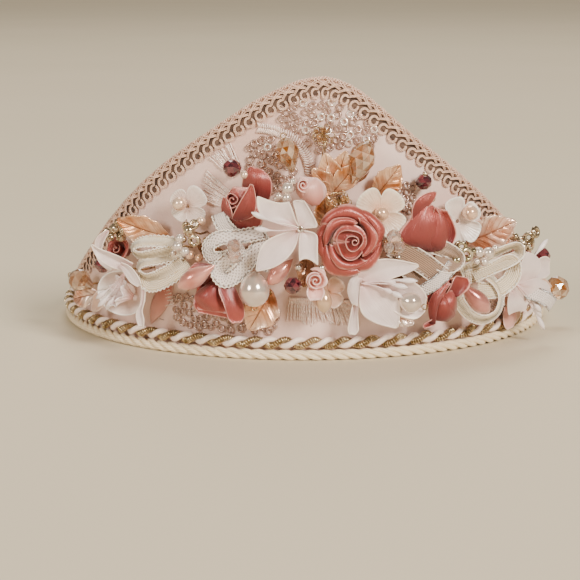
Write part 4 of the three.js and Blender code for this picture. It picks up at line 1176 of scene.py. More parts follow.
def makeRose(name):
    here = seat(*seats[name])
    parts = [rosePetal(here, *row) for row in roses[name]["rows"]]
    heartSeat = here
    if "heartAt" in roses[name]:
        heartSeat = seat(*seats[name][:4]) @ Matrix.Translation(roses[name]["heartAt"])
    heart = roses[name]["heart"]
    parts.append(roseHeart(heartSeat, **heart))
    parts.append(roseFloor(heartSeat, heart["outer"] * floorShape["reach"],
                           heart["tall"] - floorShape["below"]))
    if "petals" in roses[name]:
        # these face the front, whichever way the rose itself nods
        right, up = roses[name].get("aside", (0, 0))
        facing = seat(*seats[name][:4]) @ Matrix.Translation((right, up, 0))
        parts += [edgePetal(facing, **{**freePetal, **row}) for row in roses[name]["petals"]]
    finish = "blush" if slotOf[name] == "blush_clay" else "coral"
    finishPiece(thicken(joined(parts), thick["rose"]), name + "_petals", finish, node=name)


for roseName in roses:
    makeRose(roseName)
print("roses and buds made")

# round blossoms with a pearl in the middle
blossoms = {
    "cream_right": {"radius": 7.9, "lobes": 4, "depth": 0.42, "pearl": 2.1, "finish": "cream", "turn": 68,
        "bowl": 0.9, "sizes": (0.95, 1.0, 0.9, 1.02), "bead": (0, 0)},
    "cream_left": {"radius": 6.2, "lobes": 4, "depth": 0.4, "pearl": 2.1, "finish": "sheer", "turn": 30,
        "bowl": 0.4, "sizes": (1.1, 0.9, 0.8, 1.0), "bead": (-1.6, 1.0)},
    "white_right": {"radius": 8.0, "lobes": 5, "depth": 0.36, "pearl": 2.3, "finish": "milk", "turn": -20,
        "bowl": 1.6, "sizes": (0.9, 0.95, 1.05, 1.15, 0.95), "bead": (3.0, 2.6)},
    "peach_low": {"radius": 5.4, "lobes": 4, "depth": 0.4, "pearl": 0, "finish": "peach", "turn": -18,
        "bowl": 1.0, "sizes": (1.0, 0.9), "bead": (0, 0)},
}


def makeBlossom(name):
    b = blossoms[name]
    here = seat(*seats[name])
    back = discPetal(here @ Matrix.Translation((0, 0, -0.6)), b["radius"], b["lobes"], b["depth"],
                     b["bowl"], b["turn"],
                     b["sizes"])
    finishPiece(thicken(back, thick["blossom"]), name + "_petals", b["finish"], node=name)
    if b["pearl"]:
        right, up = b["bead"]
        bead = ball(here @ Vector((right, up, 0.2 + b["pearl"] * 0.7)), b["pearl"], 24)
        finishPiece(bead, name + "_pearl", "warmPearl")


for blossomName in blossoms:
    makeBlossom(blossomName)
print("blossoms made")

# leaves
leaves = {
    "leaf_left": {"length": 15.5, "width": 8.4, "fold": 1.5, "curl": 0, "veins": 4,
        "finish": "orangeLeaf"},
    "leaf_right": {"length": 14.6, "width": 10.5, "fold": 0.8, "curl": 2, "veins": 6,
        "finish": "copperLeaf"},
    "leaf_low": {"length": 12.8, "width": 10.8, "fold": 1.2, "curl": -1, "veins": 3,
        "finish": "peachLeaf"},
    "leaf_top_right": {"length": 11.2, "width": 8.0, "fold": 1.0, "curl": 2, "veins": 5,
        "finish": "orangeLeaf"},
    "leaf_mid": {"length": 10.6, "width": 6.4, "fold": 0.8, "curl": 2, "veins": 5,
        "finish": "orangeLeaf"},
    "leaf_far_left": {"length": 8.6, "width": 6.6, "fold": 1.0, "curl": 0, "veins": 4,
        "finish": "copperLeaf"},
}


def leafBlade(here, dip, length, width, fold, curl, veins, wave=0.5, mesh=(16, 30)):
    phase = random.uniform(0, 6)

    def place(u, v):
        wide = 0.25 + (width / 2 - 0.1) * sin(pi * u ** 0.85) ** 0.9
        wide *= 1 + 0.06 * sin(2 * pi * veins * (u + 0.1)) * abs(v) ** 3
        rise = curl * u * u - dip * (1 - u) ** 5
        rise += fold * abs(v) * sin(pi * u)
        rise += 0.2 * cos(2 * pi * veins * (u - 0.3 * abs(v))) * min(1, 4 * abs(v)) * sin(pi * u)
        rise += wave * sin(8 * u + 2 * v + phase) * v * v
        return here @ Vector((wide * v, length * u, rise))

    return sheet(*mesh, place)


def makeLeaf(name):
    f = leaves[name]
    blade = leafBlade(seat(*seats[name]), seats[name][2] - 0.7, f["length"], f["width"], f["fold"],
                      f["curl"], f["veins"])
    finishPiece(thicken(blade, thick["leaf"]), name + "_blade", f["finish"], node=name)


for leafName in leaves:
    makeLeaf(leafName)


flames = [  # lean, length, width, how far out
    (8, 11.8, 7.2, 0.6), (36, 9.4, 5.8, 1.4), (-20, 12.6, 7.4, 0.4), (-42, 11.0, 6.2, 1.0),
    (66, 7.0, 4.8, 1.4),
]


def makeFlameLeaf():
    # narrow leaves standing like flames behind the blush bud
    here = seat(*seats["leaf_top_left"])
    blades = []
    for lean, length, width, up in flames:
        turned = here @ Matrix.Rotation(radians(lean - 12), 4, "Z") @ Matrix.Translation((0, 0, up))
        blades.append(leafBlade(turned, 3.2, length, width, 1.1, 1.6, 2, 0.6, mesh=(10, 20)))
    finishPiece(thicken(joined(blades), thick["flameLeaf"]), "leaf_top_left_blades", "orangeLeaf",
                node="leaf_top_left")


makeFlameLeaf()
# small leaves and petals between the flowers: angle, height, standOff, turn, length, width, finish; the
# dark bronze leaves are partly painted shade in the gaps between ornaments
fillers = [
    (-6.2, 36.2, 4.4, 150, 9, 5.6, "orangeLeaf"), (0.4, 30.6, 4.6, 175, 8.4, 5, "shadeBronzeLeaf"),
    (11.8, 30.2, 4.6, -120, 8, 5, "shadeBronzeLeaf"), (21.4, 27.4, 4.2, 150, 8.6, 5, "shadeBronzeLeaf"),
    (-17.2, 29.6, 4.6, 60, 8, 5, "shadeBronzeLeaf"), (27.4, 25.4, 4.6, -40, 8, 5, "shadeBronzeLeaf"),
    (11.2, 51.6, 3.6, -6, 7.6, 4.4, "shadeBronzeLeaf"), (33.2, 24.2, 4.6, -150, 7, 4.6, "copperLeaf"),
    (-26.6, 27.2, 4.6, -160, 8, 5, "shadeBronzeLeaf"), (43.2, 28.4, 4.6, -60, 8, 5, "copperLeaf"),
    (-12.4, 22.6, 4.4, -150, 8, 5, "shadeBronzeLeaf"), (17.4, 24.6, 4.4, -170, 8, 5, "shadeBronzeLeaf"),
    (60.4, 20.6, 4.4, -70, 8, 5, "peach"), (51.6, 13.2, 4.2, -170, 8, 5.4, "peach"),
    (63.2, 14.4, 4.4, -100, 8.4, 5.4, "peach"), (-49.4, 15.8, 4.2, 150, 8, 5.4, "peach"),
    (17.6, 13.6, 3.8, -112, 8.4, 5.0, "copperLeaf"),
]
for finish in ("orangeLeaf", "shadeBronzeLeaf", "copperLeaf", "peach"):
    blades = [
        leafBlade(seat(angle, height, standOff, angle * 0.8, 0, turn), standOff - 0.7, length, width, 0.9,
                  1.2, 4, mesh=(8, 16))
        for angle, height, standOff, turn, length, width, kind in fillers if kind == finish
    ]
    finishPiece(thicken(joined(blades), thick["smallLeaf"]), "small_leaves_" + finish, finish)
print("leaves made")

# bows: each strip follows right, up, out and its lean from facing front
bows = {
    "ribbon_cream_left": {
        "finish": "creamRibbon", "loop": 0.24,
        "strips": [
            (3.6, [(6.6, 5.2, 0.4, 30), (0.4, 6.4, 1.6, 40), (-5.8, 6.0, 2.2, 50), (-8.2, 3.8, 1.6, 60),
                (-5.4, 2.0, 2.4, 45), (0.6, 3.1, 3.0, 30), (5.8, 4.4, 2.2, 30)]),
            (3.6, [(6.6, 3.4, 1.0, 30), (0.6, 1.6, 2.4, 40), (-4.6, 0.4, 2.8, 50), (-6.4, -2.2, 2.0, 60),
                (-3.2, -4.2, 3.0, 45), (2.2, -2.4, 3.4, 30), (7.0, 0.9, 2.0, 30)]),
            (4.2, [(8.8, 0.2, 1.6, 10), (3.8, -3.4, 2.4, 15), (-0.8, -5.8, 2.8, 20),
                (-3.6, -5.8, 2.2, 30), (-4.4, -3.4, 1.0, 40)]),
        ],
    },
    "ribbon_silver_left": {
        "finish": "silverRibbon", "loop": 0.16,
        "strips": [
            (3.7, [(7.4, 5.6, 1.4, 20), (0.8, 4.4, 2.6, 10), (-4.8, 4.0, 2.8, 10), (-8.2, 1.4, 2.0, 30),
                (-7.0, -1.6, 2.6, 20), (-2.6, -1.4, 3.2, 10), (2.0, 1.4, 2.6, 20)]),
            (4.2, [(7.4, 3.2, 1.0, 20), (3.8, -1.8, 2.4, 10), (0.4, -6.0, 3.0, 10), (-3.6, -8.2, 2.4, 30),
                (-5.2, -5.2, 3.0, 20), (-1.6, -1.6, 3.4, 10)]),
            (4.0, [(-0.4, 4.0, 1.2, 20), (-3.6, 7.2, 2.0, 5), (-5.2, 10.8, 1.8, 10)]),
            (4.0, [(5.0, 6.4, 0.6, 10), (7.8, 1.0, 0.8, 20), (6.4, -5.4, 1.2, 10)]),
        ],
    },
    "ribbon_taupe_right": {
        "finish": "taupeRibbon",
        "strips": [
            (5.8, [(-9.4, 5.2, 1.0, 10), (-5.0, 3.0, 2.4, 0), (-0.2, 0.0, 3.0, 0), (3.0, -2.4, 2.8, 5),
                (6.0, -4.6, 2.0, 15)]),
            (4.6, [(-7.4, 6.0, -0.4, 30), (-0.6, 5.8, 1.4, 20), (6.2, 3.8, 2.0, 20), (10.4, 1.0, 1.2, 40),
                (7.8, -0.8, 2.2, 30), (3.4, 0.6, 1.6, 20)]),
            (4.2, [(-8.2, 1.4, 0.4, 20), (-4.6, -1.8, 1.6, 10), (-1.6, -5.2, 1.4, 10)]),
        ],
        "net": [
            (3.8, [(9.0, -0.8, 2.0, 10), (6.2, -3.4, 3.2, 5), (2.6, -6.2, 3.4, 0), (-1.4, -8.6, 2.2, 0)]),
        ],
    },
    "ribbon_cream_right": {
        "finish": "creamRibbon",
        "strips": [
            (3.6, [(-9.0, -0.6, 1.6, 20), (-3.4, 2.4, 2.6, 30), (2.8, 5.2, 2.8, 40), (8.4, 6.4, 2.0, 50),
                (10.2, 4.2, 1.2, 70), (6.8, 2.4, 2.4, 40), (0.6, 0.6, 3.0, 25), (-5.0, -1.8, 2.0, 20)]),
            (4.4, [(-7.0, -2.4, 1.0, 20), (-0.8, -0.6, 2.4, 15), (5.6, 2.2, 2.2, 30), (8.6, 0.4, 1.4, 60),
                (6.8, -3.6, 2.4, 30), (2.0, -6.2, 2.8, 10), (-3.6, -6.0, 2.0, 15)]),
        ],
    },
    "ribbon_pearly_low": {
        "finish": "creamRibbon",
        "strips": [
            (3.2, [(-6.4, 5.4, 1.0, 40), (-5.6, 0.2, 1.8, 35), (-2.2, -4.2, 2.2, 30),
                (2.2, -5.8, 2.4, 30), (6.4, -4.0, 2.2, 35), (7.8, 0.6, 2.0, 40), (6.2, 4.6, 1.6, 45),
                (3.6, 7.0, 0.8, 50)]),
        ],
    },
}


def stripSpot(run, ahead, u):
    # the middle of the strip at u, the way it runs and the way its width lies
    k = u * (len(run) - 1)
    low = min(int(k), len(run) - 2)
    row = run[low] + (run[low + 1] - run[low]) * (k - low)
    go = Vector(ahead[low] + (ahead[low + 1] - ahead[low]) * (k - low)).normalized()
    flat = Vector((-go.y, go.x, 0)).normalized()
    lean = radians(row[3])
    return Vector(row[:3]), go, flat * cos(lean) + go.cross(flat) * sin(lean)


def stripRun(rows):
    run = smoothRow(rows, 8)
    ahead = np.gradient(run[:, :3], axis=0)
    return run, ahead / (np.linalg.norm(ahead, axis=1)[:, None] + 1e-9)


def ribbonStrip(here, width, rows):
    run, ahead = stripRun(rows)

    def place(u, v):
        spot, go, side = stripSpot(run, ahead, u)
        return here @ (spot + side * (width / 2 * v) + go.cross(side) * 0.1 * cos(pi * 9 * v))

    return sheet(18, len(run) * 2, place)


picotShape = {"pitch": 0.95, "thread": 0.2, "away": 0.1}


def picotEdge(here, width, rows, edge, loop):
    # a thread laid along one edge, in small loops of that height
    run, ahead = stripRun(rows)
    length = float(np.linalg.norm(np.diff(run[:, :3], axis=0), axis=1).sum())
    count = int(length / picotShape["pitch"]) * 4
    points = []
    for k in range(count + 1):
        spot, go, side = stripSpot(run, ahead, k / count)
        out = width / 2 + picotShape["away"] + loop * sin(pi * k / 2)
        rise = 0.6 * loop * cos(pi * k / 2)
        points.append(here @ (spot + side * (edge * out) + go.cross(side) * rise))
    return points, picotShape["thread"]


def makeBow(name):
    b = bows[name]
    here = seat(*seats[name])
    parts = [ribbonStrip(here, width, rows) for width, rows in b["strips"]]
    finishPiece(thicken(joined(parts), thick["ribbon"], 0), name + "_loops", b["finish"], node=name)
    edges = []
    for width, rows in b["strips"]:
        edges += [picotEdge(here, width, rows, side, b.get("loop", 0)) for side in (-1, 1)]
    finishPiece(tubes(edges, 5), name + "_edges", "picot")
    if "net" in b:
        net = joined([ribbonStrip(here, width, rows) for width, rows in b["net"]])
        finishPiece(thicken(net, thick["ribbon"], 0), name + "_net", "silverRibbon")


for bowName in bows:
    makeBow(bowName)
netRows = [(4.2, -2.4, 0.6, -20), (8.0, -3.8, 2.6, -15), (12.0, -5.8, 2.6, -10), (15.0, -8.0, 1.2, 0)]
netEnd = ribbonStrip(seat(*seats["flower_right"]), 4.6, netRows)
finishPiece(thicken(netEnd, thick["ribbon"], 0), "flower_right_net", "silverRibbon")
print("bows made")

# drops, stones and beads
drops = {  # length, radius, finish, how far the widest place lies toward one end, roundness of the ends
    "drop_coral_left": (12.8, 2.8, "coralGloss", 1.35, 0.7),
    "pearl_drop": (10.2, 4.3, "pearl", 0.84, 0.54), "pearl_low": (6.8, 3.1, "pearl", 1.1, 0.54),
    "drop_copper_right": (12.6, 2.8, "roseGold", 1.35, 0.7),
    "drop_coral_mid": (10.4, 2.4, "coralGloss", 1.35, 0.7),
    "drop_ivory": (7.4, 2.3, "ivoryPearl", 1.2, 0.6),
}
for name, (length, radius, finish, lean, blunt) in drops.items():
    rows = []
    for k in range(25):
        t = (1 - cos(pi * k / 24)) / 2
        rows.append((radius * max(0.02, sin(pi * t ** lean) ** blunt), -length / 2 + length * t))
    piece = mendNormals(setDown(latheDrop(rows, 28), seat(*seats[name])))
    finishPiece(piece, name + "_bead", finish, node=name)

gems = {  # length, radius, finish, cut
    "crystal_top_left": (9.8, 3.5, "champagne", "drop"),
    "crystal_top_right": (12.4, 3.9, "champagne", "drop"),
    "crystal_far_left": (9, 3.5, "champagne", "drop"),
    "crystal_far_right": (10, 4.0, "champagne", "drop"), "garnet_1": (4.8, 2.8, "garnet", "round"),
    "garnet_2": (4.4, 2.5, "garnet", "round"), "garnet_3": (4.6, 2.6, "garnet", "round"),
    "garnet_4": (4.6, 2.6, "garnet", "round"), "garnet_5": (4.6, 2.6, "garnet", "round"),
}


def markFacetFlashes(piece):
    # a random share for each facet, which the glass finishes paint as reflection
    share = piece.data.attributes.new("facet", "FLOAT", "FACE")
    share.data.foreach_set("value", [random.random() ** 1.2 for facet in piece.data.polygons])
    return piece


gemCuts = {  # sides, and rows of radius and way along as shares of the gem's own
    "drop": (10, [(0.16, -1), (0.5, -0.62), (0.82, -0.22), (1, 0.2), (0.9, 0.56), (0.55, 0.88),
        (0.3, 1)]),
    "round": (8, [(0.42, -1), (0.86, -0.5), (1, 0), (0.86, 0.5), (0.42, 1)]),
}


def gemOf(cut, length, radius):
    sides, rows = gemCuts[cut]
    return cutGem([(wide * radius, along * length / 2) for wide, along in rows], sides)


for name, (length, radius, finish, cut) in gems.items():
    gem = markFacetFlashes(mendNormals(setDown(gemOf(cut, length, radius), seat(*seats[name]))))
    finishPiece(gem, name + "_stone", finish, node=name, smooth=False)

clearBeads = {
    "crystal_clear_left": [(0, 1.3, 0, 2.3), (0.2, -1.6, 0.2, 2.1)],
    "crystal_clear_right": [(0, 1.4, 0, 2.3), (1.6, -1.4, 0.2, 1.8), (-1.4, -1.4, 0, 1.7)],
}
for name, beads in clearBeads.items():
    here = seat(*seats[name])
    parts = []
    for right, up, out, radius in beads:
        gem = gemOf("round", 1.7 * radius, radius)
        tilt = Matrix.Rotation(random.uniform(0, 3), 4, "Z") @ Matrix.Rotation(random.uniform(0.2, 1.2),
                4, "X")
        parts.append(setDown(gem, here @ Matrix.Translation((right, up, out)) @ tilt))
    finishPiece(markFacetFlashes(mendNormals(joined(parts))), name + "_beads", "clear", node=name, smooth=False)

# bead clusters: right, up, out, radius, and 1 where the bead shows its hole
clusters = {
    "pearls_top": ("pearl", [(0, 0.7, 0.4, 1.8, 0), (-0.3, -1.9, 0.6, 1.4, 0),
        (-2.5, -1.5, 0.2, 1.1, 0)]),
    "pearls_left": ("pearl", [(-1.2, 0.2, 0.5, 1.5, 0), (1, -1.3, 0.4, 1.3, 0),
        (-0.5, 2.5, 0.2, 1.2, 0)]),
    "pearls_right": ("pearl", [(0.9, 0.9, 0.4, 1.7, 0), (-2.1, 1.2, 0.3, 1.6, 0),
        (-0.4, -1.6, 0.4, 1.4, 0)]),
    "beads_green_right": ("greenGold", [(0.4, 0.4, 0.4, 2.1, 1), (-2.4, -1.3, 0.2, 1.8, 0),
        (-0.9, 2.8, 0, 1.5, 1)]),
    "beads_gold_mid": ("goldBead", [(-0.9, 0.7, 0.4, 1.8, 0), (0.6, 2.5, 0.2, 1.5, 1),
        (0.6, -2.2, 0.4, 1.9, 1)]),
    "beads_gold_left": ("goldBead", [(0.5, 0.7, 0.5, 1.7, 0), (-2.2, -1.2, 0.3, 1.8, 1),
        (2.2, -1.8, 0.3, 1.6, 0)]),
    "beads_gold_right": ("goldBead", [(0.2, 0, 0.4, 1.7, 1), (2.8, 1.4, 0.3, 1.8, 1),
        (0.8, -2.7, 0.3, 1.6, 1)]),
}
for name, (finish, beads) in clusters.items():
    here = seat(*seats[name])
    parts = []
    for right, up, out, radius, ring in beads:
        at = here @ Vector((right, up, out))
        if ring:
            tilt = Vector((random.uniform(-0.6, 0.6), random.uniform(-0.6, 0.6), 1))
            parts.append(ringBead(at, radius, here.to_3x3() @ tilt))
        else:
            parts.append(ball(at, radius, 20))
    finishPiece(joined(parts), name + "_beads", finish, node=name)
print("drops, stones and beads made")

# small beads that fill the clusters: angle, height, standOff, radius, finish, 1 where it shows its hole
smallBeads = [
    (-44.6, 34.2, 8, 1.3, "goldBead", 1), (-42.6, 33.6, 9, 1.1, "goldBead", 0),
    (-39.8, 36.0, 8.4, 1.2, "goldBead", 1), (-41.2, 38.2, 8, 1.2, "goldBead", 0),
    (-23.6, 39.2, 9, 1.4, "goldBead", 1), (-24.0, 35.6, 10, 1.1, "goldBead", 0),
    (-20.6, 41.0, 8.6, 1.3, "warmPearl", 0), (-22.9, 31.0, 9, 1.3, "warmPearl", 0),
    (-20.8, 30.4, 9.4, 1.2, "warmPearl", 0), (-19.6, 35.4, 9, 1.0, "goldBead", 1),
    (-25.6, 31.6, 11.4, 0.9, "pearl", 0), (-11.8, 54.4, 7.4, 1.2, "warmPearl", 0),
    (-1.2, 29.0, 11.4, 1.2, "silverBead", 0), (3.2, 28.7, 11, 1.2, "silverBead", 0),
    (17.8, 31.0, 11, 1.1, "silverBead", 0), (30.8, 33.4, 10.4, 1.3, "goldBead", 1),
    (29.8, 28.4, 11.4, 1.3, "greenGold", 1), (33.6, 31.4, 12.4, 1.0, "greenGold", 0),
    (49.8, 31.6, 9.4, 1.3, "goldBead", 1), (50.4, 29.6, 9.6, 1.2, "goldBead", 0),
    (53.4, 31.0, 10, 1.2, "goldBead", 1), (48.2, 33.0, 8.6, 1.1, "goldBead", 0),
    (38.4, 31.6, 13.6, 1.0, "pearl", 0), (34.0, 28.4, 13.4, 0.9, "pearl", 0),
    (-5.2, 48.6, 13.2, 0.8, "pearl", 0), (-2.2, 53.4, 12.6, 0.9, "pearl", 0),
    (27.0, 46.4, 5.4, 0.9, "goldBead", 0), (25.2, 53.8, 5.2, 0.7, "goldBead", 0),
]
for finish in ("goldBead", "warmPearl", "pearl", "silverBead", "greenGold"):
    parts = []
    for angle, height, standOff, radius, kind, ring in smallBeads:
        if kind == finish:
            here = seat(angle, height, standOff, angle * 0.8)
            facing = here.to_3x3() @ Vector((random.uniform(-0.7, 0.7), random.uniform(-0.7, 0.7), 1))
            at = here.to_translation()
            parts.append(ringBead(at, radius, facing) if ring else ball(at, radius, 16))
    finishPiece(joined(parts), "small_beads_" + finish, finish)


# gold wire sprays, and the wires that bind every ornament to the band
def wireLoop(here, turn, lean, length, width):
    points = []
    frameOf = here @ Matrix.Rotation(radians(turn), 4, "Z") @ Matrix.Rotation(radians(lean), 4, "X")
    for k in range(15):
        a = 2 * pi * k / 14
        points.append(frameOf @ Vector((width * sin(a) * sin(a / 2), length * (1 - cos(a)) / 2, 0)))
    return points, wireShape["loop"]


sprays = {
    "spray_top": {"seat": (3.7, 65.6, 3.2, 2), "loops": 9, "length": 3.4, "width": 1.1, "beads": 7,
        "beadSize": 0.62, "spread": 2.0},
    "spray_mid": {"seat": (6.4, 47.6, 10.6, 2), "loops": 14, "length": 3.6, "width": 1.2, "beads": 12,
        "beadSize": 0.7, "spread": 2.6},
    "spray_right": {"seat": (16.0, 35.6, 14.6, 8), "loops": 10, "length": 2.8, "width": 1.0, "beads": 8,
        "beadSize": 0.6, "spread": 2.4},
}
wireShape = {"loop": 0.17, "stem": 0.2, "binding": 0.34, "sink": 1.6}
wires = []
for name, s in sprays.items():
    here = seat(*s["seat"])
    for k in range(s["loops"]):
        wires.append(wireLoop(here, 360 * k / s["loops"] + random.uniform(-14, 14),
                              random.uniform(-10, 62), s["length"],
                              s["width"]))
    beads = []
    for k in range(s["beads"]):
        turn = random.uniform(0, 2 * pi)
        reach = s["spread"] * sqrt(random.random())
        at = here @ Vector((reach * cos(turn), reach * sin(turn), random.uniform(0.2, 1.8)))
        beads.append(ball(at, s["beadSize"] * random.uniform(0.8, 1.15), 12))
    finishPiece(joined(beads), name + "_beads", "champagneBead")
stem = [wallPoint(3.7, 65.6, 3.0), wallPoint(3.9, 62, 3.6), wallPoint(3.4, 58.5, 3.4),
        wallPoint(3.7, 54, 3.0)]
for shift in (0, 0.5):
    wires.append(([p + Vector((shift, 0, 0)) for p in stem], wireShape["stem"]))
for name, place in seats.items():
    here = seat(*place)
    foot = wallPoint(place[0], here.to_translation().z - 1.0, 0.1)
    top = here @ Vector((0, 0, -wireShape["sink"]))
    middle = (foot + top) / 2 + Vector((0, 0, -0.6))
    wires.append(([foot, middle, top], wireShape["binding"]))
eyes = [  # wire eyes at the drops: seat, right, up, out
    ("pearl_drop", 0, -5.4, 0), ("crystal_top_right", 0, 6.2, 0), ("crystal_top_left", 0, 5.6, 0),
    ("crystal_far_left", 0, 4.9, 0), ("crystal_far_right", 0, 5.2, 0), ("pearl_low", 0, 4.4, 0),
]
for name, right, up, out in eyes:
    here = seat(*seats[name]) @ Matrix.Translation((right, up, out))
    turns = np.linspace(0, 2 * pi, 13)
    wires.append(([here @ Vector((0.8 * cos(a), 0.8 * sin(a), 0)) for a in turns], wireShape["loop"]))
finishPiece(tubes(wires, 6), "spray_wires", "goldWire")
print("beads and wires made")


# sequin rings on the satin, in patches outlined by angle and height
sequinPatches = {
    "sequins_top": {"edge": [(-5.4, 72.6), (-1.0, 74.4), (5.4, 74.6), (10.6, 71.4), (15.8, 66.4),
        (15.3, 61.6), (9.7, 62.6), (3.2, 60.8), (-1.6, 64.0), (-4.8, 68.6)], "count": 60, "bright": 0.26},
    "sequins_mid": {"edge": [(-12.0, 62.8), (-7.5, 64.4), (-2.6, 61.4), (-2.0, 50.0), (-8.2, 49.4),
        (-12.0, 55.0)], "count": 46, "bright": 0.04},
    "sequins_low": {"edge": [(-30.6, 16.4), (-23.9, 17.4), (-14.4, 17.0), (-13.2, 8.0), (-20, 8.0),
        (-27.8, 8.6), (-30.6, 11.5)], "count": 62, "bright": 0.04},
    "sequins_low_mid": {"edge": [(-12.0, 12.0), (-6.4, 12.4), (-6.4, 8.0), (-12.0, 8.0)], "count": 16,
        "bright": 0.0},
    "sequins_right": {"edge": [(18.6, 50.4), (24.4, 50.2), (24.6, 42.4), (19.0, 42.4)], "count": 20,
        "bright": 0.0},
    "sequins_end": {"edge": [(45.0, 11.6), (60.0, 11.0), (60.4, 7.8), (45.4, 7.8)], "count": 22,
        "bright": 0.0},
}


def insideOf(edge, x, y):
    inside = False
    for (ax, ay), (bx, by) in zip(edge, edge[1:] + edge[:1]):
        if (ay > y) != (by > y) and x < (bx - ax) * (y - ay) / (by - ay) + ax:
            inside = not inside
    return inside


def sequinRings(spots):
    # flat rings, each of 40 faces
    corners, faces = [], []
    section = [(0.62, 0.12), (0.95, 0.24), (1.28, 0.06), (0.95, -0.14)]
    for angle, height, out, lean, swing in spots:
        here = seat(angle, height, out, angle * 0.96) @ Matrix.Rotation(swing, 4,
                "Z") @ Matrix.Rotation(lean, 4, "X")
        first = len(corners)
        for k in range(10):
            a = 2 * pi * k / 10
            corners += [tuple((here @ Vector((r * cos(a), r * sin(a), z))) * mm) for r, z in section]
        for k in range(10):
            for j in range(4):
                a, b = first + 4 * k, first + 4 * ((k + 1) % 10)
                faces.append((a + j, a + (j + 1) % 4, b + (j + 1) % 4, b + j))
    return mendNormals(newPiece("sequins", corners, faces))


brightSpots = []
for name, patch in sequinPatches.items():
    angles = [a for a, h in patch["edge"]]
    heights = [h for a, h in patch["edge"]]
    spots = []
    tries = 0
    while len(spots) < patch["count"] and tries < 6000:
        tries += 1
        angle = random.uniform(min(angles), max(angles))
        height = random.uniform(min(heights), max(heights))
        near = 2.3 if tries < 3000 else 1.9
        if not insideOf(patch["edge"], angle, height):
            continue
        if any(hypot((angle - s[0]) * perDegree, height - s[1]) < near for s in spots):
            continue
        spots.append((angle, height, random.uniform(0.35, 0.9), random.uniform(-0.35, 0.35),
                      random.uniform(0, 6.3)))
    bright = int(len(spots) * patch["bright"])
    brightSpots += spots[:bright]
    finishPiece(sequinRings(spots[bright:]), name, "sequin")
finishPiece(sequinRings(brightSpots), "sequins_bright", "whiteSequin")

# satin stitches in silk thread: each fan runs from one line on the wall to another
threadFans = [  # first root, last root, first tip, last tip, strands
    ((-14.6, 46.6), (-15.4, 43.0), (-21.8, 54.8), (-23.6, 46.0), 24),
    ((-13.6, 54.6), (-15.8, 52.6), (-16.4, 62.8), (-21.0, 58.4), 16),
    ((-3.4, 18.4), (2.2, 18.2), (-3.8, 11.8), (2.0, 10.4), 26),
    ((2.4, 16.6), (9.4, 17.6), (3.2, 11.4), (11.6, 9.6), 32),
    ((-32.2, 20.4), (-30.4, 14.6), (-34.0, 19.4), (-32.6, 13.8), 7),
]
silkShape = {"radius": 0.25, "lift": 0.14, "hump": 0.36}
strands = []
for rootA, rootB, tipA, tipB, count in threadFans:
    for k in range(count):
        t = k / (count - 1)
        jitter = random.uniform(-0.5, 0.5)
        root = [a + (b - a) * t for a, b in zip(rootA, rootB)]
        tip = [a + (b - a) * t + jitter for a, b in zip(tipA, tipB)]
        steps = random.choice((2, 3, 3, 4))
        shift = random.uniform(0, 0.5)
        points = []
        for s in np.linspace(0, 1, 19):
            angle, height = (r + (q - r) * s for r, q in zip(root, tip))
            hump = silkShape["hump"] * abs(sin(pi * (steps * s + shift)))
            points.append(wallPoint(angle, height, silkShape["lift"] + hump))
        strands.append((points, [silkShape["radius"] + random.uniform(-0.05, 0.07) for _ in points]))
arcRows = smoothRow([(-9.8, 67.2), (-7.5, 66.8), (-5.4, 65.9), (-2.8, 64.2), (-0.6, 61.2), (0.7, 57.8),
                     (1.4, 53.6)], 6)
for k in range(len(arcRows) - 1):
    spot = arcRows[k]
    run = np.array([(arcRows[k + 1] - spot)[0] * perDegree, (arcRows[k + 1] - spot)[1]])
    run /= np.linalg.norm(run)
    for side in (-1, 1):
        # the two halves meet in a shallow V along the middle of the arc
        across = np.array([-run[1], run[0]]) * side * 1.45 - run * 0.6
        tip = (spot[0] + across[0] / perDegree, spot[1] + across[1])
        points = [wallPoint(*(a + (b - a) * s for a, b in zip(spot, tip)), 0.35 + 0.4 * sin(pi * s))
                  for s in np.linspace(0, 1, 7)]
        strands.append((points, [silkShape["radius"] + random.uniform(-0.06, 0.08) for _ in points]))
finishPiece(tubes(strands, 4), "silk_stitches", "thread")


def coralSilk(u, v):
    # a wisp of coral silk laid under the left flowers
    angle = -32.6 - 3.4 * u + 3.0 * v * sin(pi * (0.15 + 0.7 * u))
    return wallPoint(angle, 21 - 12.4 * u + 1.4 * v, 0.45 + 0.25 * cos(3 * v))


finishPiece(thicken(sheet(8, 12, coralSilk), thick["ribbon"], 0), "coral_silk", "coralSilk")
endPetal = edgePetal(seat(50.5, 7.4, 4.6, 42),
                     [(-2.0, 3.4, 2.0, 3.2), (-3.0, 0.6, 3.0, 1.0), (-2.6, -2.0, 3.0, -1.4),
                                                 (-0.8, -3.8, 1.6, -3.4)], 0, 0.3, 0, dome=0.7)
finishPiece(thicken(endPetal, thick["rose"]), "end_petal", "blush")
endLoop = smoothRow([(54, 6.0, 2.6), (58, 8.2, 3.6), (62.5, 10.0, 3.4), (65.5, 8.6, 3.0),
                     (64.5, 6.4, 3.4), (60.5, 5.6, 3.6)], 5)
finishPiece(tubes([([wallPoint(*row) for row in endLoop], 0.62)], 10), "end_loop", "whitePly")
markSpots = [(-36.6, 9.4), (-35.5, 9.2), (-34.8, 9.2), (-33.6, 9.0)]
marks = [([wallPoint(*markSpots[k], 0.1), wallPoint(*markSpots[k + 1], 0.1)], 0.12) for k in (0, 2)]
finishPiece(tubes(marks, 5), "stitch_marks", "tape")
print("sequins and stitches made")

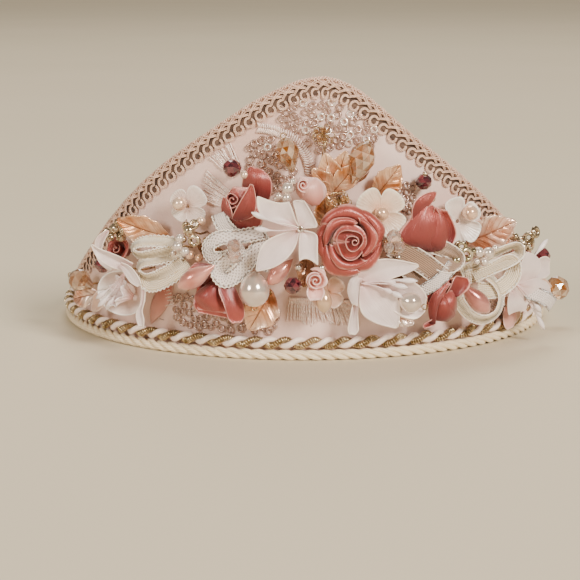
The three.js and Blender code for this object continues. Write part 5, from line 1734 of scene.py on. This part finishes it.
# floor, light and camera
stageShape = {
    "wide": 60.0, "air": 0.33, "camera": 0.6, "elevation": 10.76, "focal": 1795.9, "imageWide": 580,
    "originAt": (304.9, 308.6),
}


lamps = [  # place in metres, size, watts
    ((1.7, -2.6, 1.7), 0.8, 160.0), ((-2.1, -2.5, 1.3), 0.9, 62.0), ((0.0, 1.6, 3.2), 1.6, 52.0),
    ((0.0, 7.5, 5.0), 4.0, 130.0),
]


def makeStage():
    startClean()
    bpy.ops.mesh.primitive_plane_add(size=stageShape["wide"], location=(0, 0, 0))
    floor = bpy.context.object
    floor.name = "floor"
    paper = newFinish("palePaper", "d2c8b2", 0.8)
    colorOn(mixOf(noiseOf(3, 2), "d2cab8", "d9d1c0"))
    floor.data.materials.append(paper)
    world = bpy.data.worlds.new("studio")
    world.use_nodes = True
    world.node_tree.nodes["Background"].inputs["Color"].default_value = tone("e8d9c2", 1.0)
    world.node_tree.nodes["Background"].inputs["Strength"].default_value = stageShape["air"]
    bpy.context.scene.world = world
    for place, size, watts in lamps:
        light = bpy.data.lights.new("softbox", "AREA")
        light.size = size
        light.energy = watts
        light.color = (1.0, 0.93, 0.85)
        holder = bpy.data.objects.new("softbox", light)
        holder.location = place
        aim = Vector((0, -0.05, 0.035)) - Vector(place)
        holder.rotation_euler = aim.to_track_quat("-Z", "Y").to_euler()
        bpy.context.scene.collection.objects.link(holder)
    rise = radians(stageShape["elevation"])
    camera = bpy.data.cameras.new("view")
    camera.sensor_width = 36
    camera.lens = stageShape["focal"] * 36 / stageShape["imageWide"]
    half = stageShape["imageWide"] / 2
    camera.shift_x = (half - stageShape["originAt"][0]) / stageShape["imageWide"]
    camera.shift_y = (stageShape["originAt"][1] - half) / stageShape["imageWide"]
    holder = bpy.data.objects.new("view", camera)
    holder.location = (0, -stageShape["camera"] * cos(rise), stageShape["camera"] * sin(rise))
    holder.rotation_euler = (pi / 2 - rise, 0, 0)
    bpy.context.scene.collection.objects.link(holder)
    bpy.context.scene.camera = holder


makeStage()
for name in sorted(frame["nodes"]):
    if not frame["nodes"][name].hide_render:
        print("still plain:", name)
